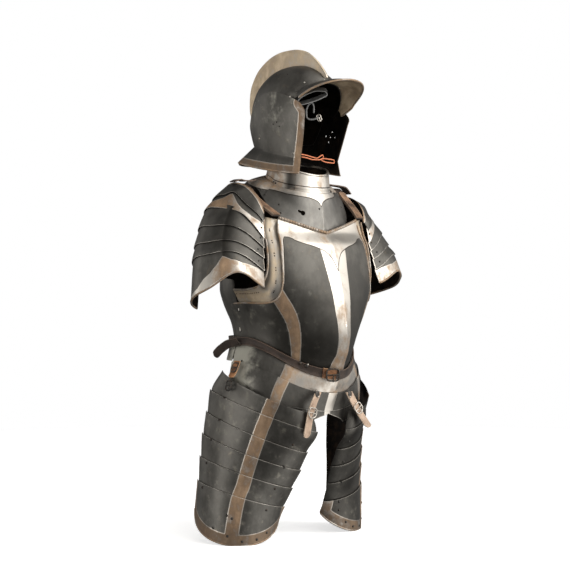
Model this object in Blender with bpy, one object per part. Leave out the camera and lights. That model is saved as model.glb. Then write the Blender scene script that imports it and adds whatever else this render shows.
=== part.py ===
"""Half armour of plate: burgonet, gorget, breast and back, pauldrons, fauld and tassets.

It faces -Y and is symmetric about X = 0. The origin is the middle of the line between the
shoulder tops. Tables are in millimetres; each row is one level of the plate.
"""

import bpy
import numpy as np
from mathutils import Vector

MM = 0.001
WALL = 2.0            # breast, back, gorget and helmet
LAME_WALL = 1.6       # pauldron, fauld and tasset lames
LEATHER = 2.8
LAP = 9.0             # how far one lame runs under the next
STEP = 1.5            # a lame stands this far out at its upper lap and in at its lower one

for old in list(bpy.data.objects):
    bpy.data.objects.remove(old)


def material(name, colour, roughness, metallic):
    made = bpy.data.materials.new(name)
    made.use_nodes = True
    shader = made.node_tree.nodes["Principled BSDF"]
    shader.inputs["Base Color"].default_value = (*colour, 1)
    shader.inputs["Roughness"].default_value = roughness
    shader.inputs["Metallic"].default_value = metallic
    return made


BLACK = material("blackened_steel", (0.060, 0.062, 0.056), 0.42, 0.85)
BRIGHT = material("bright_steel", (0.50, 0.45, 0.39), 0.32, 1.0)
DARK_LEATHER = material("dark_leather", (0.085, 0.050, 0.035), 0.60, 0.0)
TAN_LEATHER = material("tan_leather", (0.36, 0.23, 0.16), 0.65, 0.0)
IRON = material("black_iron", (0.030, 0.030, 0.030), 0.45, 0.8)
CORD = material("orange_cord", (0.70, 0.26, 0.12), 0.75, 0.0)


# ---------------------------------------------------------------- plates from grids of points

def normals(grid, inside):
    along = np.gradient(grid, axis=0)
    across = np.gradient(grid, axis=1)
    out = np.cross(across, along)
    out /= np.linalg.norm(out, axis=2, keepdims=True)
    return out if ((grid - np.array(inside)) * out).sum() > 0 else -out


def shell(name, outer, inner, paint, ring=False):
    """A closed thin solid between two grids of points; ring joins its last column to its first."""
    rows, columns = outer.shape[:2]
    count = rows * columns
    facing = np.cross(outer[:-1, 1:] - outer[:-1, :-1], outer[1:, :-1] - outer[:-1, :-1])
    turned = (facing * (outer - inner)[:-1, :-1]).sum() < 0
    faces = []
    last = columns if ring else columns - 1
    for i in range(rows - 1):
        for j in range(last):
            k = (j + 1) % columns
            quad = (i * columns + j, i * columns + k, (i + 1) * columns + k, (i + 1) * columns + j)
            faces.append(quad)
            faces.append(tuple(count + corner for corner in reversed(quad)))
    low = (rows - 1) * columns
    edge = [((j + 1) % columns, j) for j in range(last)]
    edge += [(low + j, low + (j + 1) % columns) for j in range(last)]
    if not ring:
        edge += [(i * columns, (i + 1) * columns) for i in range(rows - 1)]
        edge += [((i + 2) * columns - 1, (i + 1) * columns - 1) for i in range(rows - 1)]
    faces += [(a, b, count + b, count + a) for a, b in edge]
    if turned:
        faces = [tuple(reversed(face)) for face in faces]
    mesh = bpy.data.meshes.new(name)
    points = np.concatenate([outer.reshape(-1, 3), inner.reshape(-1, 3)]) * MM
    mesh.from_pydata(points.tolist(), [], faces)
    mesh.materials.append(paint)
    made = bpy.data.objects.new(name, mesh)
    bpy.context.scene.collection.objects.link(made)
    return made


def plate(name, grid, paint, wall=WALL, lift=0.0, inside=(0, 0, 0), ring=False):
    """A plate whose outer face is the grid moved out by lift, one number or one for each row."""
    if ring:
        wide = np.concatenate([grid[:, -2:], grid, grid[:, :2]], axis=1)
        out = normals(wide, inside)[:, 2:-2]
    else:
        out = normals(grid, inside)
    lift = np.broadcast_to(np.asarray(lift, float), (grid.shape[0],))[:, None, None]
    return shell(name, grid + out * lift, grid + out * (lift - wall), paint, ring)


def table(rows, at):
    """The columns of a table at each value of its first column."""
    rows = np.array(rows, float)
    rows = rows[np.argsort(rows[:, 0])]
    return [np.interp(at, rows[:, 0], rows[:, k]) for k in range(1, rows.shape[1])]


# ---------------------------------------------------------------- the trunk, from neck to hip

# level, dip at the front, half width, centre, front, front power, ridge, back
TRUNK = (
    (30, 0, 176, 0, 56, 0.65, 0, 96),
    (-45, 0, 178, 0, 76, 0.65, 2, 118),
    (-98, 0, 180, 1, 92, 0.62, 3, 137),
    (-128, 0, 181, 2, 112, 0.60, 8, 143),
    (-165, 7, 181, 4, 127, 0.60, 10, 156),
    (-231, 34, 179, 6, 142, 0.70, 21, 166),
    (-263, 44, 171, 9, 141, 0.80, 32, 156),
    (-290, 56, 159, 13, 137, 0.88, 43, 143),
    (-310, 64, 151, 15, 133, 0.93, 44, 132),
    (-330, 71, 145, 17, 130, 0.97, 34, 127),
    (-351, 75, 141, 20, 130, 1.00, 27, 123),
    (-372, 73, 150, 18, 131, 0.95, 20, 124),
    (-398, 70, 162, 15, 128, 0.90, 12, 126),
    (-440, 71, 174, 12, 118, 0.90, 3, 130),
    (-530, 60, 180, 12, 108, 0.90, 0, 134),
)


def trunk(phi, level):
    """A point of the trunk at an angle from the front, towards the left, at a level of the side."""
    phi, level = np.broadcast_arrays(np.radians(np.asarray(phi, float)), np.asarray(level, float))
    dip, wide, centre, front, power, ridge, back = table(TRUNK, level)
    side, ahead = np.sin(phi), np.cos(phi)
    keel = ridge * np.clip(1 - np.abs(side) / 0.8, 0, 1) ** 1.5
    depth = np.where(ahead > 0, -front * np.abs(ahead) ** power - keel, back * np.abs(ahead) ** 0.7)
    fall = np.where(ahead > 0, 1 - np.abs(side) ** 2.2, 0)
    return np.stack([wide * side, centre + depth, level - dip * fall], axis=-1)


INNER, MIDDLE = 0.6, 36      # the columns this far out stay at this angle on every row


def fan(rows, share, centre=0.0):
    """Trunk points between two borders: rows of edge angle, edge level, middle level, curve."""
    rows = np.array(rows, float)
    share = np.asarray(share, float)
    inner = np.minimum(np.abs(share), INNER) / INNER * MIDDLE
    outer = np.clip(np.abs(share) - INNER, 0, None) / (1 - INNER) * (rows[:, :1] - MIDDLE)
    away = np.sin(np.radians(inner + outer)) / np.sin(np.radians(np.minimum(rows[:, :1], 90)))
    level = rows[:, 2:3] + (rows[:, 1:2] - rows[:, 2:3]) * away ** rows[:, 3:]
    return trunk(centre + np.sign(share) * (inner + outer), level)


# edge angle, edge level, level at the middle, curve between them
BREAST = (
    (43, -70, -103, 1.1),
    (45, -100, -125, 1.4),
    (47, -138, -148, 2),
    (48, -180, -172, 2),
    (50, -218, -197, 2),
    (56, -244, -222, 2),
    (70, -258, -245, 2),
    (96, -266, -266, 2),
    (99, -290, -290, 2),
    (100, -310, -310, 2),
    (100, -330, -330, 2),
    (100, -351, -347, 2),
)
BACK = (
    (44, -8, 18, 2),
    (46, -56, -44, 2),
    (48, -110, -104, 2),
    (51, -165, -158, 2),
    (57, -200, -204, 2),
    (73, -206, -238, 2),
    (87, -212, -268, 2),
    (88, -300, -306, 2),
    (88, -330, -330, 2),
    (88, -351, -351, 2),
)
SHARES = np.array([-1, -0.87, -0.74, -0.60, -0.46, -0.32, -0.20, -0.09, 0,
                   0.09, 0.20, 0.32, 0.46, 0.60, 0.74, 0.87, 1])

plate("breastplate", fan(BREAST, SHARES), BLACK)
plate("backplate", fan(BACK, SHARES, 180), BLACK, lift=-5.5)

FLARE = 8
# breast edge angle and level, then arm opening angle and level
GUSSET = (
    (41.5, -72, 56, -66),
    (43, -98, 58, -95),
    (45, -138, 59, -132),
    (46, -182, 60, -170),
    (48, -221, 63, -200),
    (53, -248, 69, -221),
    (66, -265, 78, -232),
    (80, -271, 86, -236),
    (91, -272, 92, -236),
)


def gusset(side):
    rows = np.array(GUSSET, float)
    share = np.array([0, 0.5, 1.0])
    angle = rows[:, :1] + (rows[:, 2:3] - rows[:, :1]) * share
    level = rows[:, 1:2] + (rows[:, 3:] - rows[:, 1:2]) * share
    points = trunk(side * angle, level)
    points[:, :, 0] += side * FLARE * share**2
    return points


plate("gusset_right", gusset(-1), BRIGHT, LAME_WALL, -7.6)
plate("gusset_left", gusset(1), BRIGHT, LAME_WALL, -7.6)

HIPS = np.linspace(-98, 98, 17)
LOINS = np.linspace(99.2, 260.8, 15)
level = np.array([-342, -351, -372, -398, -406.0])[:, None]
plate("fauld_1", trunk(HIPS, level), BRIGHT, LAME_WALL, [3.0, 3.0, 1.4, -0.4, -0.8])

# the second lame runs down behind the tassets, and the third is arched up over the fork
tuck = 34 * np.exp(-((np.abs(HIPS) - 66) / 26) ** 2)
level = np.stack([-398 + 0 * tuck, -420 - tuck / 2, -440 - tuck])
plate("fauld_2", trunk(HIPS, level), BLACK, LAME_WALL, [2.4, 1.4, 0.6])
arch = np.linspace(-48, 48, 17)
low = -477 + 30 * np.clip(1 - np.abs(arch) / 18, 0, 1) ** 0.6
level = -430 + (low + 430) * np.array([0, 0.5, 1])[:, None]
plate("fauld_3", trunk(arch, level), BLACK, LAME_WALL, -2.8)

level = np.array([-342, -351, -372, -396.0])[:, None]
plate("culet", trunk(LOINS, level), BLACK, LAME_WALL, [3.0, 3.0, 1.6, 0.6])
level = np.array([-340, -351, -362.0])[:, None]
plate("belt", trunk(np.concatenate([HIPS, LOINS]), level), DARK_LEATHER, LEATHER, 7.0, (0, 0, -380), True)


# ---------------------------------------------------------------- small pieces laid on a surface

def block(name, centre, across, down, size, paint):
    """A rounded block at a point, with its length down and its width across."""
    x = Vector(across).normalized()
    z = -Vector(down).normalized()
    y = z.cross(x).normalized()
    x = y.cross(z).normalized()
    half = [s * MM / 2 for s in size]
    corners = [Vector(centre) * MM + x * (half[0] * i) + y * (half[1] * j) + z * (half[2] * k)
               for i in (-1, 1) for j in (-1, 1) for k in (-1, 1)]
    faces = [(0, 1, 3, 2), (4, 6, 7, 5), (0, 4, 5, 1), (2, 3, 7, 6), (0, 2, 6, 4), (1, 5, 7, 3)]
    mesh = bpy.data.meshes.new(name)
    mesh.from_pydata([tuple(corner) for corner in corners], [], faces)
    mesh.materials.append(paint)
    made = bpy.data.objects.new(name, mesh)
    bpy.context.scene.collection.objects.link(made)
    round_off = made.modifiers.new("corners", "BEVEL")
    round_off.width = 0.001
    round_off.segments = 1
    return made


def ribbon(name, path, across, width, paint, thick=LEATHER):
    """A strap along a path of points, its width in the direction across."""
    path = np.array(path, float)
    across = np.broadcast_to(np.array(across, float), path.shape)
    across = across / np.linalg.norm(across, axis=1, keepdims=True)
    grid = np.stack([path - across * width / 2, path + across * width / 2], axis=1)
    out = np.cross(np.gradient(path, axis=0), across)
    out = (out / np.linalg.norm(out, axis=1, keepdims=True))[:, None]
    return shell(name, grid + out * thick / 2, grid - out * thick / 2, paint)


middle = trunk(-8.0, -351) + np.array([-2, -13.5, -1.0])
block("belt_buckle", middle, (1, -0.45, 0), (0, 0, -1), (34, 4, 31), IRON)


# ---------------------------------------------------------------- tassets, one over each thigh

# inner edge, band and rear edge of each line: x outwards, y, z
TASSET = (
    ((56, -106, -508), (160, -68, -474), (176, 62, -418)),
    ((41, -112, -555), (161, -57, -512), (187, 93, -462)),
    ((42, -80, -603), (168, -42, -562), (190, 104, -512)),
    ((43, -59, -645), (177, -30, -606), (194, 114, -562)),
    ((50, -38, -688), (185, -20, -650), (197, 119, -615)),
    ((56, -17, -732), (193, -11, -700), (201, 122, -670)),
    ((60, 0, -740), (200, -2, -810), (204, 128, -722)),
)
WRAP = np.radians(np.linspace(4, 178, 13))


def hoop(ends, angle, power=1.0):
    """Half an ellipse from a first end, through a middle, to a last end."""
    first, middle, last = (np.array(end, float) for end in ends)
    centre = (first + last) / 2
    turn = angle[:, None]
    made = centre + np.cos(turn) * (first - last) / 2 + np.sin(turn) * (middle - centre)
    made[:, 2] += (np.abs(np.sin(angle)) ** power - np.sin(angle)) * (middle - centre)[2]
    return made


def lames(name, lines, side, inside, over):
    """Plates between lines: each runs on past a line behind its neighbour, or over it."""
    lines = [line * np.array([side, 1, 1]) for line in lines]
    last = len(lines) - 2
    for n in range(last + 1):
        upper, lower = lines[n], lines[n + 1]
        if over and n < last:
            way = lines[n + 2] - lower
            grid = [upper, lower, lower + way * LAP / np.linalg.norm(way, axis=1, keepdims=True)]
            rise = [STEP, -1.4 * STEP, -1.4 * STEP]
        elif not over and n > 0:
            way = lines[n - 1] - upper
            grid = [upper + way * LAP / np.linalg.norm(way, axis=1, keepdims=True), upper, lower]
            rise = [-1.4 * STEP, -1.4 * STEP, STEP]
        else:
            grid = [upper, (upper + lower) / 2, lower]
            rise = [STEP, STEP, STEP]
        plate(f"{name}_{n + 1}", np.stack(grid), BLACK, LAME_WALL, rise, inside)


for side, name in ((-1, "right"), (1, "left")):
    lines = [hoop(row, WRAP, 1.0 if row is not TASSET[-1] else 0.55) for row in TASSET]
    lames(f"tasset_{name}", lines, side, (side * 120, 40, -600), True)


# ---------------------------------------------------------------- pauldrons, one over each shoulder

# front end, outermost and rear end of each line, then the cusp: its height, place and spread
PAULDRON = (
    ((155, -57, -60), (171, 10, 10), (162, 78, -34), (0, 40, 28)),
    ((161, -66, -82), (207, 20, -19), (168, 94, -66), (13, 68, 15)),
    ((162, -70, -122), (230, 22, -48), (172, 104, -96), (14, 44, 28)),
    ((164, -73, -143), (257, 12, -90), (182, 101, -130), (14, 42, 28)),
    ((167, -77, -166), (275, 2, -128), (193, 98, -166), (14, 42, 28)),
    ((170, -81, -195), (287, -10, -156), (203, 96, -204), (16, 42, 28)),
    ((176, -87, -232), (298, -22, -236), (210, 92, -281), (32, 42, 28)),
)
PRESSED, STILL = 0.87, -150  # the left shoulder's lames slide up and together about this level
SLEEVE = np.radians(np.linspace(2, 168, 14))


def cusped(first, middle, last, cusp):
    line = hoop((first, middle, last), SLEEVE)
    height, place, spread = cusp
    line[:, 2] += height * np.exp(-((np.degrees(SLEEVE) - place) / spread) ** 2)
    return line


for side, name, scale in ((-1, "right", 1), (1, "left", PRESSED)):
    lines = [(cusped(*row) - (0, 0, STILL)) * (1, 1, scale) + (0, 0, STILL) for row in PAULDRON]
    lames(f"pauldron_{name}", lines, side, (side * 190, 5, -160), False)


# ---------------------------------------------------------------- gorget and collar

# half width, front, back, height at front, side and back, boxiness
COLLAR = ((73, 66, 66, 33, 48, 64, 1), (75, 67, 69, 12, 30, 50, 1), (79, 69, 73, -11, 10, 38, 1))
GORGET = ((80, 70, 76, -12, 12, 38, 1), (92, 78, 92, -45, 13, 34, 0.9), (110, 83, 104, -76, 9, 28, 0.8),
          (125, 84, 112, -106, -1, 18, 0.7))


def rings(rows, phi):
    """One ring round the neck for each row, at angles from the front."""
    phi = np.radians(phi)
    side, ahead = np.sin(phi), np.cos(phi)
    made = []
    for wide, front, back, low, middle, high, box in rows:
        y = np.where(ahead > 0, -front, back) * np.abs(ahead) ** box
        z = middle + np.where(ahead > 0, low - middle, high - middle) * np.abs(ahead) ** 0.7
        made.append(np.stack([wide * side, y, z], axis=-1))
    return np.stack(made)


plate("collar_front", rings(COLLAR, np.linspace(-44, 44, 9)), BRIGHT, LAME_WALL, 2.4)
plate("collar_back", rings(COLLAR, np.linspace(38, 322, 23)), BRIGHT, LAME_WALL, 0.0)


plate("gorget_front", rings(GORGET, np.linspace(-84, 84, 17)), BLACK, LAME_WALL, 4.0)
plate("gorget_back", rings(GORGET, np.linspace(87, 273, 15)), BLACK, LAME_WALL, 4.0)


# ---------------------------------------------------------------- burgonet

CENTRE = np.array([0, 0, 185.0])
# angle from the front over the top, reach, boxiness
SKULL = ((-5, 113, 0.88), (10, 115, 0.86), (28, 118, 0.80), (50, 112, 0.85), (70, 107, 0.90),
         (90, 105, 0.90), (120, 109, 0.90), (150, 116, 0.82), (180, 121, 0.75), (205, 124, 0.75),
         (222, 130, 0.75))
# the same angle, reach of the comb
CREST = ((42, 112), (46, 122), (50, 127), (62, 130), (75, 137), (89, 142), (102, 147), (118, 158),
         (133, 169), (147, 178), (157, 180), (168, 176), (179, 169), (184, 160), (192, 140), (200, 126))
HALF_HEAD = 87.0


def skull_point(around, across, grow=0.0):
    reach, box = table(SKULL, around)
    around = np.radians(around)
    across = np.radians(across)
    out = (reach + grow) * np.abs(np.cos(across)) ** box
    return np.stack([(HALF_HEAD + grow) * np.sin(across) + 0 * out,
                     CENTRE[1] - out * np.cos(around),
                     CENTRE[2] + out * np.sin(around)], axis=-1)


ACROSS = np.array([-84, -68, -53, -39, -26, -14, -3.2, -1.1, 1.1, 3.2, 14, 26, 39, 53, 68, 84.0])
spread = np.abs(ACROSS) / 60
first = 28 - 19 * np.clip(spread, 0, 1.3) ** 4
nape = 130 * np.cos(np.radians(ACROSS)) ** 0.75
last = 180 + np.degrees(np.arcsin(np.minimum(73 / nape, 0.93)))
share = np.linspace(0, 1, 16)[:, None]
AROUND = first + (last - first) * share
outer = skull_point(AROUND, np.broadcast_to(ACROSS, AROUND.shape))
inner = skull_point(AROUND, np.broadcast_to(ACROSS, AROUND.shape), -WALL)
for column in (7, 8):
    reach = np.maximum(table(CREST, AROUND[:, column])[0], table(SKULL, AROUND[:, column])[0])
    outer[:, column, 1] = CENTRE[1] - reach * np.cos(np.radians(AROUND[:, column]))
    outer[:, column, 2] = CENTRE[2] + reach * np.sin(np.radians(AROUND[:, column]))
shell("burgonet_skull", outer, inner, BLACK)

# the peak: its root lies on the brow, and its left end comes further down than its right one
swing = np.array([-85, -75, -60, -45, -30, -15, 0, 15, 30, 45, 60, 75, 90, 108.0])
ahead = np.cos(np.radians(swing))
past = np.clip(swing / 90 - 1, 0, None)
brow = 28 - 6 * np.abs(swing / 90) ** 4 - 60 * past
root = [skull_point(brow + lap, 56 * swing / 90, 1.2) for lap in (7, 0)]
height = np.where(ahead > 0, 49 * np.abs(ahead) ** 0.75, 65 * ahead)
rim = np.stack([87 * np.sin(np.radians(swing)) - 30 * past, -92 - 88 * ahead, 192 + height], axis=-1)
half = (root[1] + rim) / 2 + np.array([0, 0, 4.0])
plate("burgonet_peak", np.stack([*root, half, rim]), BRIGHT, WALL, WALL, (0, -120, 100))

# front edge, widest and rear edge of each line of a cheekpiece: x outwards, y, z
CHEEK_RIGHT = (
    ((74, -90, 192), (90, -14, 222), (82, 54, 204)),
    ((70, -101, 172), (93, -8, 184), (79, 74, 172)),
)
CHEEK_LEFT = (
    ((76, -93, 166), (93, -14, 206), (82, 54, 204)),
    ((70, -98, 158), (94, -8, 174), (79, 74, 172)),
)
CHEEK = (
    ((67, -97, 150), (92, -6, 150), (77, 80, 146)),
    ((62, -87, 112), (88, -4, 118), (71, 80, 122)),
    ((57, -73, 66), (82, 2, 84), (64, 80, 102)),
    ((63, -75, 34), (94, 12, 46), (92, 106, 66)),
)


def bow(ends, share):
    """A shallow curve from a first end, through a middle, to a last end."""
    first, middle, last = (np.array(end, float) for end in ends)
    share = share[:, None]
    return first + (last - first) * share + 4 * share * (1 - share) * (middle - (first + last) / 2)


for side, name, top in ((-1, "right", CHEEK_RIGHT), (1, "left", CHEEK_LEFT)):
    cheek = np.stack([bow(row, np.linspace(0, 1, 11)) for row in top + CHEEK])
    plate(f"cheek_{name}", cheek * np.array([side, 1, 1]), BLACK, LAME_WALL, 2.0, (0, 0, 120))

NAPE = (
    ((-72, 66, 120), (0, 118, 122), (72, 66, 120)),
    ((-63, 69, 102), (0, 116, 102), (63, 69, 102)),
    ((-73, 84, 84), (0, 148, 82), (73, 84, 84)),
    ((-86, 99, 67), (0, 180, 66), (86, 99, 67)),
)
guard = np.stack([bow(row, np.linspace(0, 1, 13)) for row in NAPE])
plate("neck_guard", guard, BLACK, LAME_WALL, 0.0, (0, 0, 100))


# ---------------------------------------------------------------- leathers

SHOULDER_STRAP = ((130, -72, -66), (140, -44, -46), (146, -14, -24), (147, 10, -2), (147, 30, 10),
                  (145, 56, 11), (138, 84, 0), (130, 102, -16))
PAULDRON_STRAPS = {
    "right": ((-112, 30, 20), (-128, 28, 18), (-146, 26, 17), (-164, 22, 18.5), (-182, 20, 13)),
    "left": ((112, 30, 20), (128, 28, 18), (146, 26, 17), (165, 22, 14), (182, 20, -2)),
}
OUTER_STRAP = ((172, 15, -395), (177, 14, -406), (186, 12, -420), (194.5, 12, -432))
for side, name in ((-1, "right"), (1, "left")):
    turn = np.array([side, 1, 1])
    ribbon(f"shoulder_strap_{name}", SHOULDER_STRAP * turn, (1, 0, 0), 24, DARK_LEATHER)
    ribbon(f"pauldron_strap_{name}", PAULDRON_STRAPS[name], (0, 1, 0), 22, DARK_LEATHER)
    ribbon(f"outer_strap_{name}", OUTER_STRAP * turn, (0.2 * side, 1, 0), 22, TAN_LEATHER)
    middle = np.array((201.5, 11, -449)) * turn
    block(f"outer_buckle_{name}", middle, (-0.1 * side, 1, 0), (0.25 * side, 0, -1), (24, 4, 26), IRON)

INNER_STRAPS = {
    "right": ((-53, -127, -465), (-76, -128, -510), (-88, -126, -566)),
    "left": ((42, -128, -468), (66, -130, -506), (97, -139, -552)),
}
for name, path in INNER_STRAPS.items():
    ribbon(f"inner_strap_{name}", path, (1, 0.1, 0.1), 22, TAN_LEATHER)
    low = np.array(path[1], float) + (0, -6.0, 0)
    block(f"inner_buckle_{name}", low, (1, 0.1, 0.1), np.subtract(path[2], path[1]), (29, 3, 26), IRON)

BELT_END = ((-158.5, 28, -352), (-156, 64, -357), (-149, 101, -370), (-148, 128, -388))
LINER_STRAP = ((-66, -72, 196), (-56, -86, 203), (-44, -94, 213), (-30, -98, 221))
ribbon("belt_end", BELT_END, (-0.43, 0.39, 0.81), 20, DARK_LEATHER)
ribbon("liner_strap", LINER_STRAP, (0.4, 0.5, -1), 20, DARK_LEATHER, 2.4)

KNOT = (
    (-55, -71, 77), (-40, -74, 75), (-24, -75, 72), (-10, -75, 70), (-2, -77, 74), (6, -77, 78),
    (10, -76, 73), (6, -74, 67), (14, -73, 64), (32, -71, 62), (50, -68, 62), (54, -67, 66),
    (48, -70, 69), (30, -73, 70), (14, -77, 70), (3, -80, 69), (-8, -79, 66), (-24, -77, 66),
    (-40, -75, 69), (-54, -71, 71),
)
curve = bpy.data.curves.new("chin_cord", "CURVE")
curve.dimensions = "3D"
spline = curve.splines.new("POLY")
spline.points.add(len(KNOT) - 1)
for point, place in zip(spline.points, KNOT):
    point.co = (*(value * MM for value in place), 1)
curve.bevel_depth = 1.4 * MM
curve.bevel_resolution = 2
curve.use_fill_caps = True
curve.materials.append(CORD)
bpy.context.scene.collection.objects.link(bpy.data.objects.new("chin_cord", curve))
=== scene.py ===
import math
import bpy
import numpy as np
from mathutils import Matrix, Vector
from mathutils.bvhtree import BVHTree


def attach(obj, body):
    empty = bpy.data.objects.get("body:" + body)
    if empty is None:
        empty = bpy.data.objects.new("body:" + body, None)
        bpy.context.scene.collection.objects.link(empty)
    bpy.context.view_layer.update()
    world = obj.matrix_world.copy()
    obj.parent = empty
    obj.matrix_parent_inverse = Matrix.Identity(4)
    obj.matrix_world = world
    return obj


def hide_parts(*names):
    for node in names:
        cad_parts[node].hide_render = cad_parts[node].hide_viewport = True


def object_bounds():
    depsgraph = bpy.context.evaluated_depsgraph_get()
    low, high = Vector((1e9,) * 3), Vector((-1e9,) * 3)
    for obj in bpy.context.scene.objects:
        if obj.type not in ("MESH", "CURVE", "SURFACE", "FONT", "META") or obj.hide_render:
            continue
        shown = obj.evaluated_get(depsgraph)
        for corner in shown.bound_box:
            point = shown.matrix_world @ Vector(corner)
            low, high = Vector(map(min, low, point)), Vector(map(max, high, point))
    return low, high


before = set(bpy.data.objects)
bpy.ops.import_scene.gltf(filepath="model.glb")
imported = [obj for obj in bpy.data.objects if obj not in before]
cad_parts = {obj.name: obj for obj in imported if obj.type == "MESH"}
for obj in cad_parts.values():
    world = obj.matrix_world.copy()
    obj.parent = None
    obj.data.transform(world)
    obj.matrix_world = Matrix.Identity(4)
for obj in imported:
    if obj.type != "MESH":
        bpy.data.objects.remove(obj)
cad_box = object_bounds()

MM = 0.001


# ---------------------------------------------------------------- the room
# A pale floor, a white surround that steel mirrors as dim walls with a few glows, and soft
# boxes: the key in front, one overhead, one behind, one at each side, and a wide fill.

scene = bpy.context.scene
scene.view_settings.view_transform = "Standard"

AIM = Vector((0, 0, -0.222))
DISTANCE = 3.8
FACING = math.radians(-42)
SENSOR, ZOOM, SIDE_SHIFT = 36, 2.84737, -0.022807
lens = bpy.data.cameras.new("camera")
lens.sensor_width = SENSOR
lens.lens = SENSOR * ZOOM
lens.shift_x = SIDE_SHIFT
camera = bpy.data.objects.new("camera", lens)
camera.location = AIM + DISTANCE * Vector((math.sin(FACING), -math.cos(FACING), 0))
camera.rotation_euler = (math.pi / 2, 0, FACING)
scene.collection.objects.link(camera)
scene.camera = camera


def feed(tree, made, inputs):
    """Gives a node's inputs their numbers and colours, or links them to other nodes."""
    for name, value in inputs.items():
        if isinstance(value, bpy.types.NodeSocket):
            tree.links.new(value, made.inputs[name])
        else:
            made.inputs[name].default_value = value


def node(tree, kind, inputs=None, **settings):
    """A shader node with its settings and its inputs."""
    made = tree.nodes.new("ShaderNode" + kind)
    for name, value in settings.items():
        setattr(made, name, value)
    feed(tree, made, inputs or {})
    return made


def sums(tree, operation, first, second=0.0, third=0.0):
    """One step of arithmetic on numbers or sockets."""
    made = node(tree, "Math", {0: first, 1: second, 2: third}, operation=operation)
    return made.outputs[0]


def between(tree, value, low, high, start=0.0, end=1.0):
    """start where value is at low, end where it is at high, and smooth between."""
    made = node(tree, "MapRange", {"Value": value, "From Min": low, "From Max": high,
                                   "To Min": start, "To Max": end},
                interpolation_type="SMOOTHSTEP")
    return made.outputs["Result"]


def mixed(tree, share, first, second):
    """One colour passing into another as share goes from 0 to 1."""
    made = node(tree, "Mix", {"Factor": share}, data_type="RGBA")
    feed(tree, made, {place: colour if isinstance(colour, bpy.types.NodeSocket) else (*colour, 1)
                      for place, colour in ((6, first), (7, second))})
    return made.outputs[2]


def toward(azimuth, elevation):
    """A direction from the armour: azimuth 0 is straight in front of it, 90 is at its left."""
    turn, rise = math.radians(azimuth), math.radians(elevation)
    return Vector((math.sin(turn) * math.cos(rise), -math.cos(turn) * math.cos(rise),
                   math.sin(rise)))


WALL_GLOW, WALL_COLOUR = 0.13, (1, 0.985, 0.96, 1)
# azimuth, elevation, the cosines at which the glow begins and is full, and its strength
GLOWS = (
    (32, 16, 0.66, 0.97, 1.50),
    (24, -34, 0.84, 0.98, 1.70),
    (-150, 12, 0.80, 0.97, 0.55),
    (-92, -4, 0.93, 0.99, 2.40),
    (88, 8, 0.82, 0.98, 0.30),
    (-12, 4, 0.86, 0.98, 0.34),
    (22, 52, 0.86, 0.98, 0.70),
)
room = bpy.data.worlds.new("room")
scene.world = room
room.use_nodes = True
tree = room.node_tree
tree.nodes.clear()
way = node(tree, "TexCoord").outputs["Generated"]
glow = WALL_GLOW
for azimuth, elevation, low, high, strength in GLOWS:
    turned = node(tree, "VectorMath", {0: way, 1: toward(azimuth, elevation)},
                  operation="DOT_PRODUCT").outputs["Value"]
    glow = sums(tree, "ADD", glow, between(tree, turned, low, high, 0.0, strength))
seen = node(tree, "LightPath").outputs["Is Camera Ray"]
walls = node(tree, "Background", {"Color": WALL_COLOUR, "Strength": glow})
plain = node(tree, "Background", {"Color": (1, 1, 1, 1), "Strength": 1.0})
both = node(tree, "MixShader", {0: seen, 1: walls.outputs[0], 2: plain.outputs[0]})
node(tree, "OutputWorld", {"Surface": both.outputs[0]})

LAMP_COLOUR = (1, 0.97, 0.93)


def soft_box(name, azimuth, elevation, distance, size, power, seen=True):
    """A square lamp that looks at the armour; polished steel mirrors it only if it is seen."""
    lamp = bpy.data.lights.new(name, "AREA")
    lamp.shape = "RECTANGLE"
    lamp.size, lamp.size_y = size
    lamp.energy = power
    lamp.color = LAMP_COLOUR
    made = bpy.data.objects.new(name, lamp)
    made.location = AIM + distance * toward(azimuth, elevation)
    made.rotation_euler = toward(azimuth, elevation).to_track_quat("Z", "Y").to_euler()
    made.visible_glossy = seen
    scene.collection.objects.link(made)


soft_box("key", 30, 22, 3.0, (2.0, 2.4), 42)
soft_box("overhead", 50, 72, 2.8, (1.6, 1.6), 12)
soft_box("left", -92, -2, 3.0, (0.26, 2.4), 14)
soft_box("behind", -150, 12, 3.2, (0.9, 1.6), 5)
soft_box("right", 74, 14, 3.2, (0.6, 1.6), 4)
soft_box("fill", -30, 24, 3.2, (2.4, 2.4), 60, seen=False)

FLOOR_RADIUS, FLOOR_GAP = 3.0, 0.0005
bpy.ops.object.select_all(action="DESELECT")
bpy.ops.mesh.primitive_circle_add(vertices=96, radius=FLOOR_RADIUS, fill_type="NGON",
                                  location=(0, 0, cad_box[0][2] - FLOOR_GAP))
floor = bpy.context.active_object
floor.name = "floor"
bpy.ops.object.transform_apply()
paper = bpy.data.materials.new("floor_paper")
paper.use_nodes = True
feed(paper.node_tree, paper.node_tree.nodes["Principled BSDF"], {
    "Base Color": (0.88, 0.88, 0.88, 1), "Roughness": 0.9, "Specular IOR Level": 0.1,
    "Emission Color": (1, 1, 1, 1), "Emission Strength": 0.62})
floor.data.materials.append(paper)
floor.visible_glossy = floor.visible_diffuse = False


# ---------------------------------------------------------------- chin cord
# An orange braided cord of 2.8 mm that ties the two cheekpieces together below the face
# opening. It runs across in two strands with a flat knot of small loops in the middle.

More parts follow.
